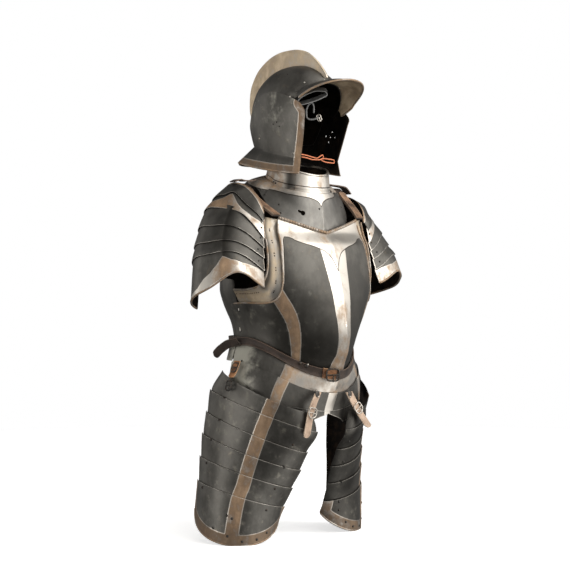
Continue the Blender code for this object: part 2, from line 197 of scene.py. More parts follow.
def eased(stations, values, at):
    """Values at each place among the stations, smooth and never past the stations' own."""
    x, y = np.asarray(stations, float), np.asarray(values, float)
    at = np.clip(np.asarray(at, float), x[0], x[-1])
    wide = np.diff(x).reshape((-1,) + (1,) * (y.ndim - 1))
    rise = np.diff(y, axis=0) / wide
    first, second = rise[:-1], rise[1:]
    same = first * second > 0
    near, far = 2 * wide[1:] + wide[:-1], wide[1:] + 2 * wide[:-1]
    blend = (near + far) / (near / np.where(same, first, 1) + far / np.where(same, second, 1))
    slope = np.concatenate([rise[:1], np.where(same, blend, 0), rise[-1:]])
    row = np.clip(np.searchsorted(x, at, side="right") - 1, 0, len(x) - 2)
    share, long = (at - x[row]) / (x[row + 1] - x[row]), x[row + 1] - x[row]
    if y.ndim > 1:
        share, long = share[..., None], long[..., None]

    def pick(table, rows):
        return table[rows, np.arange(len(rows))] if y.ndim == 3 else table[rows]

    return (pick(y, row) * (1 + 2 * share) * (1 - share) ** 2
            + pick(y, row + 1) * share ** 2 * (3 - 2 * share)
            + long * pick(slope, row) * share * (1 - share) ** 2
            - long * pick(slope, row + 1) * share ** 2 * (1 - share))


def spots_of(made):
    """The place of every point of a mesh."""
    spots = np.empty(len(made.data.vertices) * 3)
    made.data.vertices.foreach_get("co", spots)
    return spots.reshape(-1, 3)


def flat_blank(name, columns, rows):
    """A flat square of faces, and how far along and how far down it each point lies, 0 to 1."""
    bpy.ops.object.select_all(action="DESELECT")
    bpy.ops.mesh.primitive_grid_add(x_subdivisions=columns, y_subdivisions=rows, size=1)
    made = bpy.context.active_object
    made.name = made.data.name = name
    spots = spots_of(made)
    return made, np.clip(spots[:, 0] + 0.5, 0, 1), np.clip(0.5 - spots[:, 1], 0, 1)


def move_to(made, points):
    """Puts every point of a mesh at its place in mm."""
    made.data.vertices.foreach_set("co", (points * MM).ravel())
    made.data.update()


def in_edit(made, *steps):
    """Runs edit-mode operators on all of a piece."""
    bpy.context.view_layer.objects.active = made
    bpy.ops.object.mode_set(mode="EDIT")
    bpy.ops.mesh.select_all(action="SELECT")
    for step in steps:
        step()
    bpy.ops.object.mode_set(mode="OBJECT")


def join_seam():
    bpy.ops.mesh.remove_doubles(threshold=2e-6)


def face_out():
    bpy.ops.mesh.normals_make_consistent(inside=False)


SMOOTH_UNDER = math.radians(42)


def dress(made, paint, slot, *nodes):
    """The last steps of every piece: its finish, its smooth shading and its place in the frame."""
    made.data.materials.clear()
    made.data.materials.append(paint)
    bpy.ops.object.select_all(action="DESELECT")
    made.select_set(True)
    bpy.context.view_layer.objects.active = made
    bpy.ops.object.shade_smooth_by_angle(angle=SMOOTH_UNDER)
    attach(made, "root")
    if nodes:
        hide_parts(*nodes)
    return made


def gone_along(path):
    """How far along a path each of its points lies."""
    return np.concatenate([[0], np.cumsum(np.linalg.norm(np.diff(path, axis=0), axis=1))])


def unit(rows):
    return rows / np.linalg.norm(rows, axis=1, keepdims=True)


NEARLY_UP = (0.05, 0.02, 1.0)


def rod(name, path, radius, columns, around=12, shape=None):
    """A round bar along a path in mm, closed to a point at both ends, and its length. A shape
    gives its share of the radius, by how far along and how far round a point is."""
    made, along, turn = flat_blank(name, columns, around)
    path = np.asarray(path, float)
    gone = gone_along(path)
    step = 0.2 / columns
    run = unit(eased(gone, path, np.minimum(along + step, 1) * gone[-1])
               - eased(gone, path, np.maximum(along - step, 0) * gone[-1]))
    up = unit(np.cross(run, NEARLY_UP))
    side = np.cross(run, up)
    angle = 2 * np.pi * turn
    size = radius * (np.ones_like(along) if shape is None else shape(along * gone[-1], angle))
    size = size * np.sqrt(np.clip(1 - np.abs(2 * along - 1) ** (gone[-1] / radius), 0, 1))
    out = np.cos(angle)[:, None] * up + np.sin(angle)[:, None] * side
    move_to(made, eased(gone, path, along * gone[-1]) + size[:, None] * out)
    in_edit(made, join_seam, face_out)
    return made, gone[-1]


def finish_of(name):
    """A new material, with its node tree and its own shader."""
    made = bpy.data.materials.new(name)
    made.use_nodes = True
    return made, made.node_tree, made.node_tree.nodes["Principled BSDF"]


def grain(tree, scale, detail=3.0, rough=0.55, stretch=(1, 1, 1)):
    """Uneven cloudy grain from 0 to 1; scale is in clouds a metre, and stretch draws it out."""
    place = node(tree, "TexCoord").outputs["Object"]
    if stretch != (1, 1, 1):
        place = node(tree, "Mapping", {"Vector": place, "Scale": stretch}).outputs[0]
    made = node(tree, "TexNoise", {"Vector": place, "Scale": scale, "Detail": detail,
                                   "Roughness": rough})
    return made.outputs["Fac"]


def cells(tree, scale):
    """How far a point is from the middle of its cell, in a pattern of so many cells a metre."""
    place = node(tree, "TexCoord").outputs["Object"]
    return node(tree, "TexVoronoi", {"Vector": place, "Scale": scale}).outputs["Distance"]


def uneven(tree, shader, height, distance, strength=1.0):
    """Lets the height, 0 to 1, show as relief of so many metres."""
    made = node(tree, "Bump", {"Height": height, "Distance": distance, "Strength": strength})
    feed(tree, shader, {"Normal": made.outputs[0]})


CORD_SIZE, STRANDS, STRAND_TURN = 2.8, 3, 7.0
CORD_DARK, CORD_LIGHT = (0.42, 0.10, 0.04), (0.78, 0.30, 0.15)
# the cord's route from its right tie, through the knot and back: x, y, z
KNOT = np.array((
    (-55, -71, 77), (-40, -74, 75), (-24, -75, 72), (-10, -75, 70), (-2, -77, 74), (6, -77, 78),
    (10, -76, 73), (6, -74, 67), (14, -73, 64), (32, -71, 62), (50, -68, 62), (54, -67, 66),
    (48, -70, 69), (30, -73, 70), (14, -77, 70), (3, -80, 69), (-8, -79, 66), (-24, -77, 66),
    (-40, -75, 69), (-54, -71, 71),
), float)


def braid(gone, angle):
    """The strands show as low ridges that wind round the cord."""
    return 0.94 + 0.06 * np.cos(STRANDS * angle + 6.283 * gone / STRAND_TURN)


knot_line = eased(np.arange(len(KNOT)), KNOT, np.linspace(0, len(KNOT) - 1, 220))
cord, cord_long = rod("chin_cord_orange", knot_line, CORD_SIZE / 2, 520, 12, braid)
paint, tree, shader = finish_of("orange_cord_braid")
weave = grain(tree, 900, 2)
feed(tree, shader, {"Base Color": mixed(tree, weave, CORD_DARK, CORD_LIGHT), "Roughness": 0.72})
uneven(tree, shader, weave, 0.0003)
dress(cord, paint, "orange_cord", "chin_cord")


# ---------------------------------------------------------------- breastplate
# One plate of about 2 mm, beaten out with a keel down the middle and drawn to a low point at
# the belly. Its field is left black from the forge, and its bands are filed bright. The neck
# edge is rolled outward over a wire and notched with a file, and the arm edges are turned.

BLACK, GREY, BRIGHT = (0.130, 0.124, 0.112), (0.27, 0.26, 0.24), (0.66, 0.62, 0.56)
STAIN = ((0.075, 0.042, 0.024), (0.38, 0.262, 0.165))
PALE_STAIN = ((0.26, 0.186, 0.116), (0.68, 0.560, 0.400))
RUST_FILM, SPECK = (0.170, 0.140, 0.102), (0.30, 0.235, 0.17)
RUB, PALE_PATINA_AND_SHEEN = (0.27, 0.25, 0.21), (0.36, 0.35, 0.30)
PAINTED_SHADE, GROOVE = (0.022, 0.020, 0.017), (0.035, 0.027, 0.021)
UNSEEN = ((0.012, 0.010, 0.009), (0.040, 0.026, 0.017))


def dimmed(colour, share):
    return tuple(part * share for part in colour)


def black_and_bright(name, black=BLACK, stains=STAIN, shine=0.38):
    """Forge-black steel with filed bands. A plate keeps for each point how far it is inside a
    band (bright) and from a rubbed edge (rim) and an engraved line (line), in mm, how brown it
    is, how much painted shade darkens it (dark), and whether it is on the inside (inner)."""
    paint, tree, shader = finish_of(name)

    def said(what):
        return node(tree, "Attribute", attribute_name=what).outputs["Fac"]

    def times(first, second):
        return sums(tree, "MULTIPLY", first, second)

    def waver(value, noise, much):
        """The value, made uneven by a noise to both sides."""
        return sums(tree, "MULTIPLY_ADD", sums(tree, "SUBTRACT", noise, 0.5), much, value)

    cloud, mottle = grain(tree, 11, 4, 0.6), grain(tree, 48, 4, 0.6)
    fine, blotch = grain(tree, 420, 3, 0.65), grain(tree, 27, 6, 0.68, (1, 1, 0.55))
    band = between(tree, waver(said("bright"), fine, 1.6), -0.35, 0.35)

    # brown stain on the filed bands, cleaner along their borders
    stain = waver(waver(said("brown"), blotch, 2.0), mottle, 1.1)
    border = between(tree, said("bright"), 0.9, 2.6, 0.30, 1.0)
    stain = times(between(tree, stain, 0.12, 0.95), border)
    filed = mixed(tree, stain, mixed(tree, blotch, dimmed(BRIGHT, 0.80), BRIGHT),
                  mixed(tree, waver(between(tree, blotch, 0.15, 0.85), mottle, 0.7), *stains))

    # the black: clouds in it, a film of rust, specks of rust, and rubs
    field = mixed(tree, between(tree, waver(cloud, blotch, 0.8), 0.3, 0.72), dimmed(black, 0.60),
                  dimmed(black, 1.12))
    field = mixed(tree, between(tree, mottle, 0.56, 0.84, 0.0, 0.55), field, RUST_FILM)
    specks = between(tree, sums(tree, "ADD", cells(tree, 150.0), times(fine, 0.3)), 0.30, 0.22)
    specks = times(specks, between(tree, mottle, 0.5, 0.68))
    field = mixed(tree, times(specks, 0.7), field, SPECK)
    rubs = times(between(tree, fine, 0.62, 0.80), between(tree, blotch, 0.5, 0.7))
    field = mixed(tree, rubs, field, RUB)

    # a pale patina on the black where a plate calls itself browner than brown; on each cheek it is
    # a painted highlight
    patina_and_sheen = between(tree, waver(waver(said("brown"), mottle, 3.2), blotch, 1.6), 1.05, 2.60)
    field = mixed(tree, patina_and_sheen, field, PALE_PATINA_AND_SHEEN)

    worn = between(tree, waver(said("rim"), mottle, 3.0), 1.25, 0.55)
    metal = mixed(tree, worn, mixed(tree, band, field, filed), dimmed(BRIGHT, 0.95))
    # painted shade: where a plate's dark mark says so, the steel is mixed towards near-black
    metal = mixed(tree, times(waver(said("dark"), blotch, 0.3), said("dark")), metal, PAINTED_SHADE)
    groove = between(tree, sums(tree, "ABSOLUTE", said("line")), 1.35, 0.7)
    metal = mixed(tree, times(groove, 0.9), metal, GROOVE)
    inner = said("inner")
    behind = mixed(tree, between(tree, mottle, 0.4, 0.7), *UNSEEN)

    rusty = times(stain, band)
    share = sums(tree, "MULTIPLY_ADD", band, 0.14, 0.86)
    share = sums(tree, "SUBTRACT", share, times(rusty, 0.62))
    rough = waver(sums(tree, "MULTIPLY_ADD", cloud, 0.22, shine - 0.03), blotch, 0.22)
    rough = waver(rough, fine, 0.16)
    for value, much in ((band, -0.10), (rusty, 0.20), (inner, 0.25), (patina_and_sheen, 0.12)):
        rough = sums(tree, "MULTIPLY_ADD", value, much, rough)
    feed(tree, shader, {"Base Color": mixed(tree, inner, metal, behind), "Roughness": rough,
                        "Metallic": sums(tree, "SUBTRACT", share, times(patina_and_sheen, 0.3))})
    relief, step_down = grain(tree, 46, 1.5, 0.4), between(tree, said("bright"), -0.9, 0.9)
    for value, much in ((fine, 0.10), (blotch, 0.16), (step_down, 0.55), (groove, -0.9)):
        relief = sums(tree, "MULTIPLY_ADD", value, much, relief)
    uneven(tree, shader, relief, 0.0006, 0.55)
    return paint


STEEL = black_and_bright("forge_black_and_filed_steel")
GREY_STEEL = black_and_bright("worn_grey_steel", GREY, shine=0.40)
PALE_STEEL = black_and_bright("pale_stained_steel", stains=PALE_STAIN)
WALL, LAME_WALL = 2.0, 1.6
EASED, EASED_PAST = 0.4, math.radians(60)
FAR = 50.0  # mm, where a point has no band, edge or line near it
plates = {}


def away(points, path):
    """How far each point is from a path of straight runs."""
    start, run = path[:-1], np.diff(path, axis=0)
    long = np.maximum((run ** 2).sum(1), 1e-9)
    share = np.clip(((points[:, None] - start) * run).sum(2) / long, 0, 1)
    return np.sqrt(((points[:, None] - start - share[..., None] * run) ** 2).sum(2)).min(1)


def edge_of(shape, edge, steps=90):
    """Points of a plate along one of its edges: the top, the foot, the first or the last side."""
    t = np.linspace(0, 1, steps)
    return shape(*{"top": (t, 0 * t), "foot": (t, 0 * t + 1),
                   "first": (0 * t, t), "last": (0 * t + 1, t)}[edge])


def patch(flat, points, outline, lay):
    """How far inside an outline each point is, in mm, and negative outside it. The outline and
    flat are in the plate's own two measures, and lay puts such places on the plate."""
    corners = np.array(list(outline) + [outline[0]], float)
    finer = np.linspace(0, 1, 7)[:-1, None]
    dense = np.concatenate([a + (b - a) * finer for a, b in zip(corners[:-1], corners[1:])]
                           + [corners[-1:]])
    inside = np.zeros(len(flat), bool)
    for (ax, ay), (bx, by) in zip(corners[:-1], corners[1:]):
        if ay != by:
            cut = (bx - ax) * (flat[:, 1] - ay) / (by - ay) + ax
            inside ^= ((ay > flat[:, 1]) != (by > flat[:, 1])) & (flat[:, 0] < cut)
    return np.where(inside, 1, -1) * away(points, lay(*dense.T))


def over_the_middle(half):
    """A whole outline from its right half, which begins and ends at the middle."""
    return [(-a, b) for a, b in half] + [(a, b) for a, b in reversed(half)]


def tell(made, what, value):
    """Keeps a value for each point of a piece, under a name that its finish reads."""
    kept = made.data.attributes.get(what) or made.data.attributes.new(what, "FLOAT", "POINT")
    value = np.broadcast_to(value, len(made.data.vertices))
    kept.data.foreach_set("value", value.astype(np.float32))


def worked(made, kind, **settings):
    """Adds one modifier and applies it."""
    bpy.context.view_layer.objects.active = made
    step = made.modifiers.new(kind, kind)
    for name, value in settings.items():
        setattr(step, name, value)
    bpy.ops.object.modifier_apply(modifier=step.name)


def beaten(name, shape, columns, rows, *nodes, wall=WALL, lift=0.0, marks=None, inside=(0, 0, 0),
           ring=False, paint=STEEL, slot="blackened_steel", cuts=(), lining=None):
    """A plate: a flat blank formed to its shape, given its thickness inward, and its edges
    eased. shape, lift and marks take how far along and down each point is."""
    made, along, down = flat_blank(name, columns, rows)
    step = 0.3 / max(columns, rows)
    if ring:
        across = shape((along + step) % 1, down) - shape((along - step) % 1, down)
    else:
        across = (shape(np.minimum(along + step, 1), down)
                  - shape(np.maximum(along - step, 0), down))
    drop = shape(along, np.minimum(down + step, 1)) - shape(along, np.maximum(down - step, 0))
    points = shape(along, down)
    out = np.cross(across, drop)
    out /= np.maximum(np.linalg.norm(out, axis=1, keepdims=True), 1e-9)
    if ((points - np.array(inside)) * out).sum() < 0:
        out = -out
    said = {"bright": -FAR, "rim": FAR, "brown": 0.0, "line": FAR}
    said.update(marks(along, down, points) if marks else {})
    rise = lift(along, down) if callable(lift) else np.full(len(along), float(lift))
    rise = rise + said.pop("swell", 0.0)
    move_to(made, points + out * rise[:, None])

    faces = made.data.polygons
    facing = np.empty(len(faces) * 3)
    faces.foreach_get("normal", facing)
    corner = np.array([face.vertices[0] for face in faces])
    if (facing.reshape(-1, 3) * out[corner]).sum() < 0:
        made.data.flip_normals()
    for what, value in said.items():
        tell(made, what, value)
    if ring:
        in_edit(made, join_seam)

    outer = len(made.data.vertices)
    worked(made, "SOLIDIFY", thickness=wall * MM, offset=-1, use_even_offset=False)
    within = np.arange(len(made.data.vertices)) >= outer
    tell(made, "inner", within)
    for what, value in (lining or {}).items():
        kept = np.empty(len(within), np.float32)
        made.data.attributes[what].data.foreach_get("value", kept)
        tell(made, what, np.where(within, value, kept))
    for cutter in cuts:
        worked(made, "BOOLEAN", object=cutter, solver="EXACT")
        bpy.data.objects.remove(cutter)
    worked(made, "BEVEL", width=EASED * MM, segments=2, limit_method="ANGLE",
           angle_limit=EASED_PAST)
    plates[name] = (made, np.array(inside, float))
    return dress(made, paint, slot, *nodes)


SIDES = ((-1, "right"), (1, "left"))
TRUNK_MIDDLE = (0, 0, -150)
# level, dip at the front, half width, centre, front, front power, ridge, back
TRUNK = np.array((
    (30, 0, 176, 0, 56, 0.65, 0, 96),
    (-45, 0, 178, 0, 76, 0.65, 2, 118),
    (-98, 0, 180, 1, 92, 0.62, 3, 137),
    (-128, 0, 181, 2, 112, 0.60, 8, 143),
    (-165, 7, 181, 4, 127, 0.60, 10, 156),
    (-231, 34, 179, 6, 142, 0.70, 21, 166),
    (-263, 44, 171, 9, 141, 0.80, 32, 156),
    (-290, 56, 159, 13, 137, 0.88, 43, 143),
    (-310, 64, 151, 15, 133, 0.93, 44, 132),
    (-330, 71, 145, 17, 130, 0.97, 34, 127),
    (-351, 75, 141, 20, 130, 1.00, 27, 123),
    (-372, 73, 150, 18, 131, 0.95, 20, 124),
    (-398, 70, 162, 15, 128, 0.90, 12, 126),
    (-440, 71, 174, 12, 118, 0.90, 3, 130),
    (-530, 60, 180, 12, 108, 0.90, 0, 134),
), float)[::-1]


def trunk(phi, level):
    """A point of the trunk at an angle from the front, towards the left, at a level of the side."""
    phi, level = np.broadcast_arrays(np.radians(np.asarray(phi, float)), np.asarray(level, float))
    dip, wide, centre, front, power, ridge, back = np.moveaxis(
        eased(TRUNK[:, 0], TRUNK[:, 1:], level.ravel()).reshape(*level.shape, -1), -1, 0)
    side, ahead = np.sin(phi), np.cos(phi)
    keel = ridge * np.clip(1 - np.abs(side) / 0.8, 0, 1) ** 1.5
    depth = np.where(ahead > 0, -front * np.abs(ahead) ** power - keel,
                     back * np.abs(ahead) ** 0.7)
    fall = np.where(ahead > 0, 1 - np.abs(side) ** 2.2, 0)
    return np.stack([wide * side, centre + depth, level - dip * fall], axis=-1)


INNER, MIDDLE = 0.6, 36  # this share of a half plate spans this angle on every row


def fan(rows, share, down):
    """Angle and level between two borders: rows of edge angle, edge and middle level, curve."""
    angle, low, mid, curve = eased(np.arange(len(rows)), rows, down * (len(rows) - 1)).T
    inner = np.minimum(np.abs(share), INNER) / INNER * MIDDLE
    outer = np.clip(np.abs(share) - INNER, 0, None) / (1 - INNER) * (angle - MIDDLE)
    reach = np.sin(np.radians(inner + outer)) / np.sin(np.radians(np.minimum(angle, 90)))
    return np.sign(share) * (inner + outer), mid + (low - mid) * reach ** curve


# edge angle, edge level, level at the middle, curve between them
BREAST = (
    (43, -70, -103, 1.1),
    (45, -100, -125, 1.4),
    (47, -138, -148, 2),
    (48, -180, -172, 2),
    (50, -218, -197, 2),
    (56, -244, -222, 2),
    (70, -258, -245, 2),
    (96, -266, -266, 2),
    (99, -290, -290, 2),
    (100, -310, -310, 2),
    (100, -330, -330, 2),
    (100, -351, -347, 2),
)
# outlines of the filed bands on the right half: angle from the front, level
NECK_BAND = ((0, -179), (-1.4, -169), (-3.2, -158), (-6, -148.5), (-9, -142.5), (-13, -138),
             (-18, -133), (-25, -128), (-32, -121), (-34.6, -116), (-37.2, -113.5), (-41, -113),
             (-43.6, -122), (-45.4, -150), (-46.6, -180), (-48, -210), (-60, -212), (-60, -30),
             (0, -30))
KEEL_BAND = ((0, -120), (-13, -120), (-12.2, -143), (-9.8, -190), (-8.4, -222), (-7.6, -245),
             (-6.8, -265), (-6.4, -296), (-6.8, -316), (-8.3, -330), (-10.5, -356), (0, -356))
SIDE_BAND = ((-62, -235), (-56.7, -249.5), (-50.3, -267.7), (-46.5, -281), (-44.2, -296),
             (-42.6, -316), (-41.6, -332), (-41.2, -360), (-33.4, -360), (-33.5, -333),
             (-33.7, -308), (-34.2, -291), (-35.2, -275), (-37.3, -259), (-41, -243),
             (-46.5, -227), (-54, -205))


def breast_shape(along, down):
    return trunk(*fan(BREAST, 2 * along - 1, down))


def breast_marks(along, down, points):
    phi, level = fan(BREAST, 2 * along - 1, down)
    flat = np.stack([phi, level], axis=1)
    neck = patch(flat, points, over_the_middle(NECK_BAND), trunk)
    keel = patch(flat, points, over_the_middle(KEEL_BAND), trunk)
    front = np.maximum(neck, keel)
    side = np.maximum(patch(flat, points, SIDE_BAND, trunk),
                      patch(flat, points, [(-a, b) for a, b in SIDE_BAND], trunk))
    deep = np.interp(level, (-350, -318, -262, -215, -150), (0.80, 0.62, 0.40, 0.16, 0.02))
    brown = np.where(side > front, 0.98, np.where(neck > 0, 0.22, deep))
    # painted shade: off the bands the black field is darkened more the lower it lies, fading out
    # towards the sides
    dark = np.interp(level, (-330, -230, -120), (0.85, 0.72, 0.0)) * (front < 0) * (side < 0)
    return {"bright": np.maximum(front, side), "line": neck, "brown": brown,
            "dark": dark * np.clip((75 - np.abs(phi)) / 20, 0, 1)}


beaten("breastplate_steel", breast_shape, 150, 110, "breastplate", marks=breast_marks)


def marked(made, **said):
    """Tells the steel about a piece that is not a plate."""
    for what, value in (dict(bright=FAR, rim=FAR, line=FAR, inner=0.0, brown=0.5) | said).items():
        tell(made, what, value)


NOTCH, SMOOTH_PIECE = 7.0, 4.0  # mm between file notches, and between the rings of a plain roll


def turned_edge(name, path, radius, depth=0.0, brown=0.72):
    """An edge rolled over a wire, with file notches so deep for their radius."""
    long = np.linalg.norm(np.diff(path, axis=0), axis=1).sum()
    notches = max(4, round(long / NOTCH))

    def notched(far, angle):
        beat = 0.5 + 0.5 * np.cos(2 * np.pi * notches * far / long + 0.9 * np.cos(angle))
        return 1 - depth * beat ** 6

    rings = int(long / (NOTCH / 9 if depth else SMOOTH_PIECE))
    made, _ = rod(name, path, radius, rings, 12, notched if depth else None)
    marked(made, brown=brown)
    return dress(made, STEEL, "bright_steel")


def edge_line(shape, along, down, push, middle):
    """Points of a plate along one of its edges, moved out from its middle by push."""
    points = shape(along, down)
    return points + unit(points - np.array(middle, float)) * push


ends = np.linspace(0.015, 0.985, 90)
turned_edge("breast_neck_roll",
            edge_line(breast_shape, ends, 0 * ends, 1.5, TRUNK_MIDDLE) + (0, -0.5, 0.5), 3.6, 0.30)
reach = np.linspace(0.03, 0.62, 60)
for side, name in SIDES:
    turned_edge(f"breast_arm_roll_{name}",
                edge_line(breast_shape, 0 * reach + (side > 0), reach, 0.3, TRUNK_MIDDLE), 2.0)


# ---------------------------------------------------------------- backplate
# The back is one plate too, hollowed between the shoulder blades and cut low at the neck. It
# is black with a narrow filed border at the neck, and goes in under the sides of the breast.

# edge angle, edge level, level at the middle, curve between them
BACK = (
    (44, -8, 18, 2),
    (46, -56, -44, 2),
    (48, -110, -104, 2),
    (51, -165, -158, 2),
    (57, -200, -204, 2),
    (73, -206, -238, 2),
    (87, -212, -268, 2),
    (88, -300, -306, 2),
    (88, -330, -330, 2),
    (88, -351, -351, 2),
)


def back_shape(along, down):
    phi, level = fan(BACK, 2 * along - 1, down)
    return trunk(180 + phi, level)


def border_marks(shape, wide, brown, edge):
    """A filed border of one width along the edge that is named."""
    def marks(along, down, points):
        return {"bright": wide - away(points, edge_of(shape, edge)), "brown": brown}
    return marks


beaten("backplate_steel", back_shape, 110, 90, "backplate", lift=-5.5,
       marks=border_marks(back_shape, 11, 0.6, "top"))
turned_edge("back_neck_roll", edge_line(back_shape, ends, 0 * ends, -3.5, TRUNK_MIDDLE), 3.0, 0.25)


# ---------------------------------------------------------------- gussets
# A curved strip at each armhole fills the gap between the breast and the arm. It is filed
# bright and slides on rivets, which sit in pairs along its middle.

FLARE = 8  # mm, how far the strip's outer edge turns out
# angle and level of the inner edge, angle and level of the outer edge
GUSSET = (
    (41.5, -72, 56, -66),
    (43, -98, 58, -95),
    (45, -138, 59, -132),
    (46, -182, 60, -170),
    (48, -221, 63, -200),
    (53, -248, 69, -221),
    (66, -265, 78, -232),
    (80, -271, 86, -236),
    (91, -272, 92, -236),
)


def gusset_shape(side):
    """The strip of the right (-1) or left (1) armhole."""
    def shape(along, down):
        first, low, last, high = eased(np.arange(len(GUSSET)), GUSSET, down * (len(GUSSET) - 1)).T
        points = trunk(side * (first + (last - first) * along), low + (high - low) * along)
        points[:, 0] += side * FLARE * along ** 2
        return points
    return shape


def gusset_marks(along, down, points):
    """Browner towards the foot, and on the right strip a painted shadow on its outer part above the
    foot, where the pauldron's lames shade it.
    """
    brown = 0.60 + 0.35 * np.clip((down - 0.62) / 0.25, 0, 1) - 0.25 * (along < 0.45)
    # painted shadow: the outer upper part of the right strip, the near one, is darkened
    rubbed = np.clip((along - 0.55) / 0.25, 0, 1) * np.clip((0.72 - down) / 0.1, 0, 1)
    return {"bright": FAR, "brown": brown, "dark": 0.92 * (rubbed * (points[:, 0] < 0))}


reach = np.linspace(0.01, 0.99, 70)
for side, name in SIDES:
    shape = gusset_shape(side)
    beaten(f"gusset_{name}_steel", shape, 12, 120, f"gusset_{name}", wall=LAME_WALL, lift=-7.6,
           marks=gusset_marks, paint=PALE_STEEL, slot="bright_steel")
    turned_edge(f"gusset_{name}_roll",
                edge_line(shape, 0 * reach + 1, reach, -6.4, (side * 60, 0, -150)), 2.6, 0.2)


# ---------------------------------------------------------------- fauld and culet
# Three lames hang below the waist in front and one behind, the culet. The uppermost is filed
# at the front; the middle band of the breast and a band over each thigh run on down the others.

HALF_ROUND = 98  # degrees from the front to the side edge of the two wide lames
HIP_DEGREE = 2.35  # mm along the hip for each degree


def angled(first, last, top, foot):
    """A strip of the trunk between two angles; top and foot give its levels at each angle."""
    def shape(along, down):
        phi = first + (last - first) * along
        high, low = top(phi), foot(phi)
        return trunk(phi, high + (low - high) * down)
    return shape


def same(level):
    return lambda phi: np.full(len(phi), float(level))


def over_thighs(phi):
    """The foot of the second lame, lowest over each thigh."""
    return -440 - 34 * np.exp(-((np.abs(phi) - 66) / 26) ** 2)


def arched(phi):
    """The foot of the third lame, cut out in the middle."""
    return -477 + 30 * np.clip(1 - np.abs(phi) / 18, 0, 1) ** 0.6


def fauld_marks(shape, first, last, half, bright_front, side_band):
    """Filed bands down the middle and over each thigh, and perhaps all the front between them.
    half is half the middle band's width; side_band has its angle at top and foot, and its half."""
    def marks(along, down, points):
        phi = np.abs(first + (last - first) * along)
        bright = half - np.abs(points[:, 0] + 4)
        brown = 3.0 * np.clip((phi - 62) / 32, 0, 1) ** 0.7
        swell = 0.0
        if side_band:
            top, foot, wide = side_band
            place = top + (foot - top) * down
            above = 50 * np.clip(0.40 - down, 0, 1) * bright_front
            off = np.hypot((phi - place) * HIP_DEGREE, above)
            bright = np.maximum(bright, wide - off)
            brown = np.where(off < wide + 2, 0.55 + 0.2 * down, brown)
            swell = 1.6 * np.clip(1 - off / wide, 0, 1)
            if bright_front:
                front = (place - phi) * HIP_DEGREE
                bright = np.maximum(bright, front)
                brown = np.where(front > wide, 0.30, brown)
        return {"bright": bright, "brown": brown, "swell": swell,
                "rim": away(points, edge_of(shape, "foot")) * 0.8}

    return marks


def rows_of(*heights):
    """A lift that passes through these heights on the way down."""
    return lambda along, down: eased(np.linspace(0, 1, len(heights)), heights, down)


def culet_marks(along, down, points):
    return {"brown": 2.4 - 9 * np.minimum(along, 1 - along)}


fauld = angled(-HALF_ROUND, HALF_ROUND, same(-342), same(-406))
beaten("fauld_1_steel", fauld, 140, 22, "fauld_1", wall=LAME_WALL,
       lift=rows_of(3, 2.6, 1.6, 0, -0.8), slot="bright_steel",
       marks=fauld_marks(fauld, -HALF_ROUND, HALF_ROUND, 13, True, (41, 45.5, 9)))
fauld = angled(-HALF_ROUND, HALF_ROUND, same(-398), over_thighs)
beaten("fauld_2_steel", fauld, 140, 22, "fauld_2", wall=LAME_WALL, lift=rows_of(2.4, 1.4, 0.6),
       marks=fauld_marks(fauld, -HALF_ROUND, HALF_ROUND, 12.5, False, (45.3, 49.5, 11.5)))
fauld = angled(-48, 48, same(-430), arched)
beaten("fauld_3_steel", fauld, 96, 22, "fauld_3", wall=LAME_WALL, lift=-2.8,
       marks=fauld_marks(fauld, -48, 48, 9, False, None))
culet = angled(99.2, 260.8, same(-342), same(-396))
beaten("culet_steel", culet, 110, 18, "culet", wall=LAME_WALL,
       lift=rows_of(3, 2.3, 1.2, 0.6), marks=culet_marks)


# ---------------------------------------------------------------- tassets
# Each tasset is six lames that lap upwards, held on leathers inside and on rivets. A keeled
# band, filed and browned, runs down the outside, and a like border goes round the foot.

# inner edge, band and rear edge of each line: x outwards, y, z
TASSET = (
    ((56, -106, -508), (160, -68, -474), (176, 62, -418)),
    ((41, -112, -555), (161, -57, -512), (187, 93, -462)),
    ((42, -80, -603), (168, -42, -562), (190, 104, -512)),
    ((43, -59, -645), (177, -30, -606), (194, 114, -562)),
    ((50, -38, -688), (185, -20, -650), (197, 119, -615)),
    ((56, -17, -732), (193, -11, -700), (201, 122, -670)),
    ((60, 0, -740), (200, -2, -810), (204, 128, -722)),
)
LAMES = 6
LAST = LAMES - 1
LAP = 9.0 / 46  # the share of a lame that its neighbour covers
PROUD = 1.5  # mm, how far a lame's free edge stands out
TUCKED = -1.4 * PROUD
TASSET_ENDS = 4, 178
BAND_HALF, BORDER = 16.0, 24  # mm, half the keeled band and the border of the foot


def hoop(ends, angle, power=1.0):
    """Half an ellipse from a first end, through a middle, to a last end, at angles in radians."""
    first, middle, last = (np.array(end, float) for end in ends)
    centre = (first + last) / 2
    made = (centre + np.cos(angle)[:, None] * (first - last) / 2
            + np.sin(angle)[:, None] * (middle - centre))
    made[:, 2] += (np.abs(np.sin(angle)) ** power - np.sin(angle)) * (middle - centre)[2]
    return made


def tasset_at(side):
    """A point of a tasset at an angle round it and a line down it."""
    def at(angle, line):
        angle = np.radians(np.asarray(angle, float))
        lines = np.stack([hoop(row, angle, 0.55 if n == LAMES else 1.0)
                          for n, row in enumerate(TASSET)])
        return eased(np.arange(LAMES + 1), lines, line) * np.array([side, 1, 1])
    return at


def lame_line(n, down, upward):
    """The line down the whole piece on which a point of lame n lies. Each lame runs on under
    its neighbour, which is the one below where the lames lap upwards, and else the one above."""
    if upward and n < LAST:
        return n + down * (1 + LAP)
    if not upward and n > 0:
        return n - LAP + down * (1 + LAP)
    return n + down


def lapped(at, ends, n, upward):
    first, last = ends
    return lambda along, down: at(first + (last - first) * along, lame_line(n, down, upward))


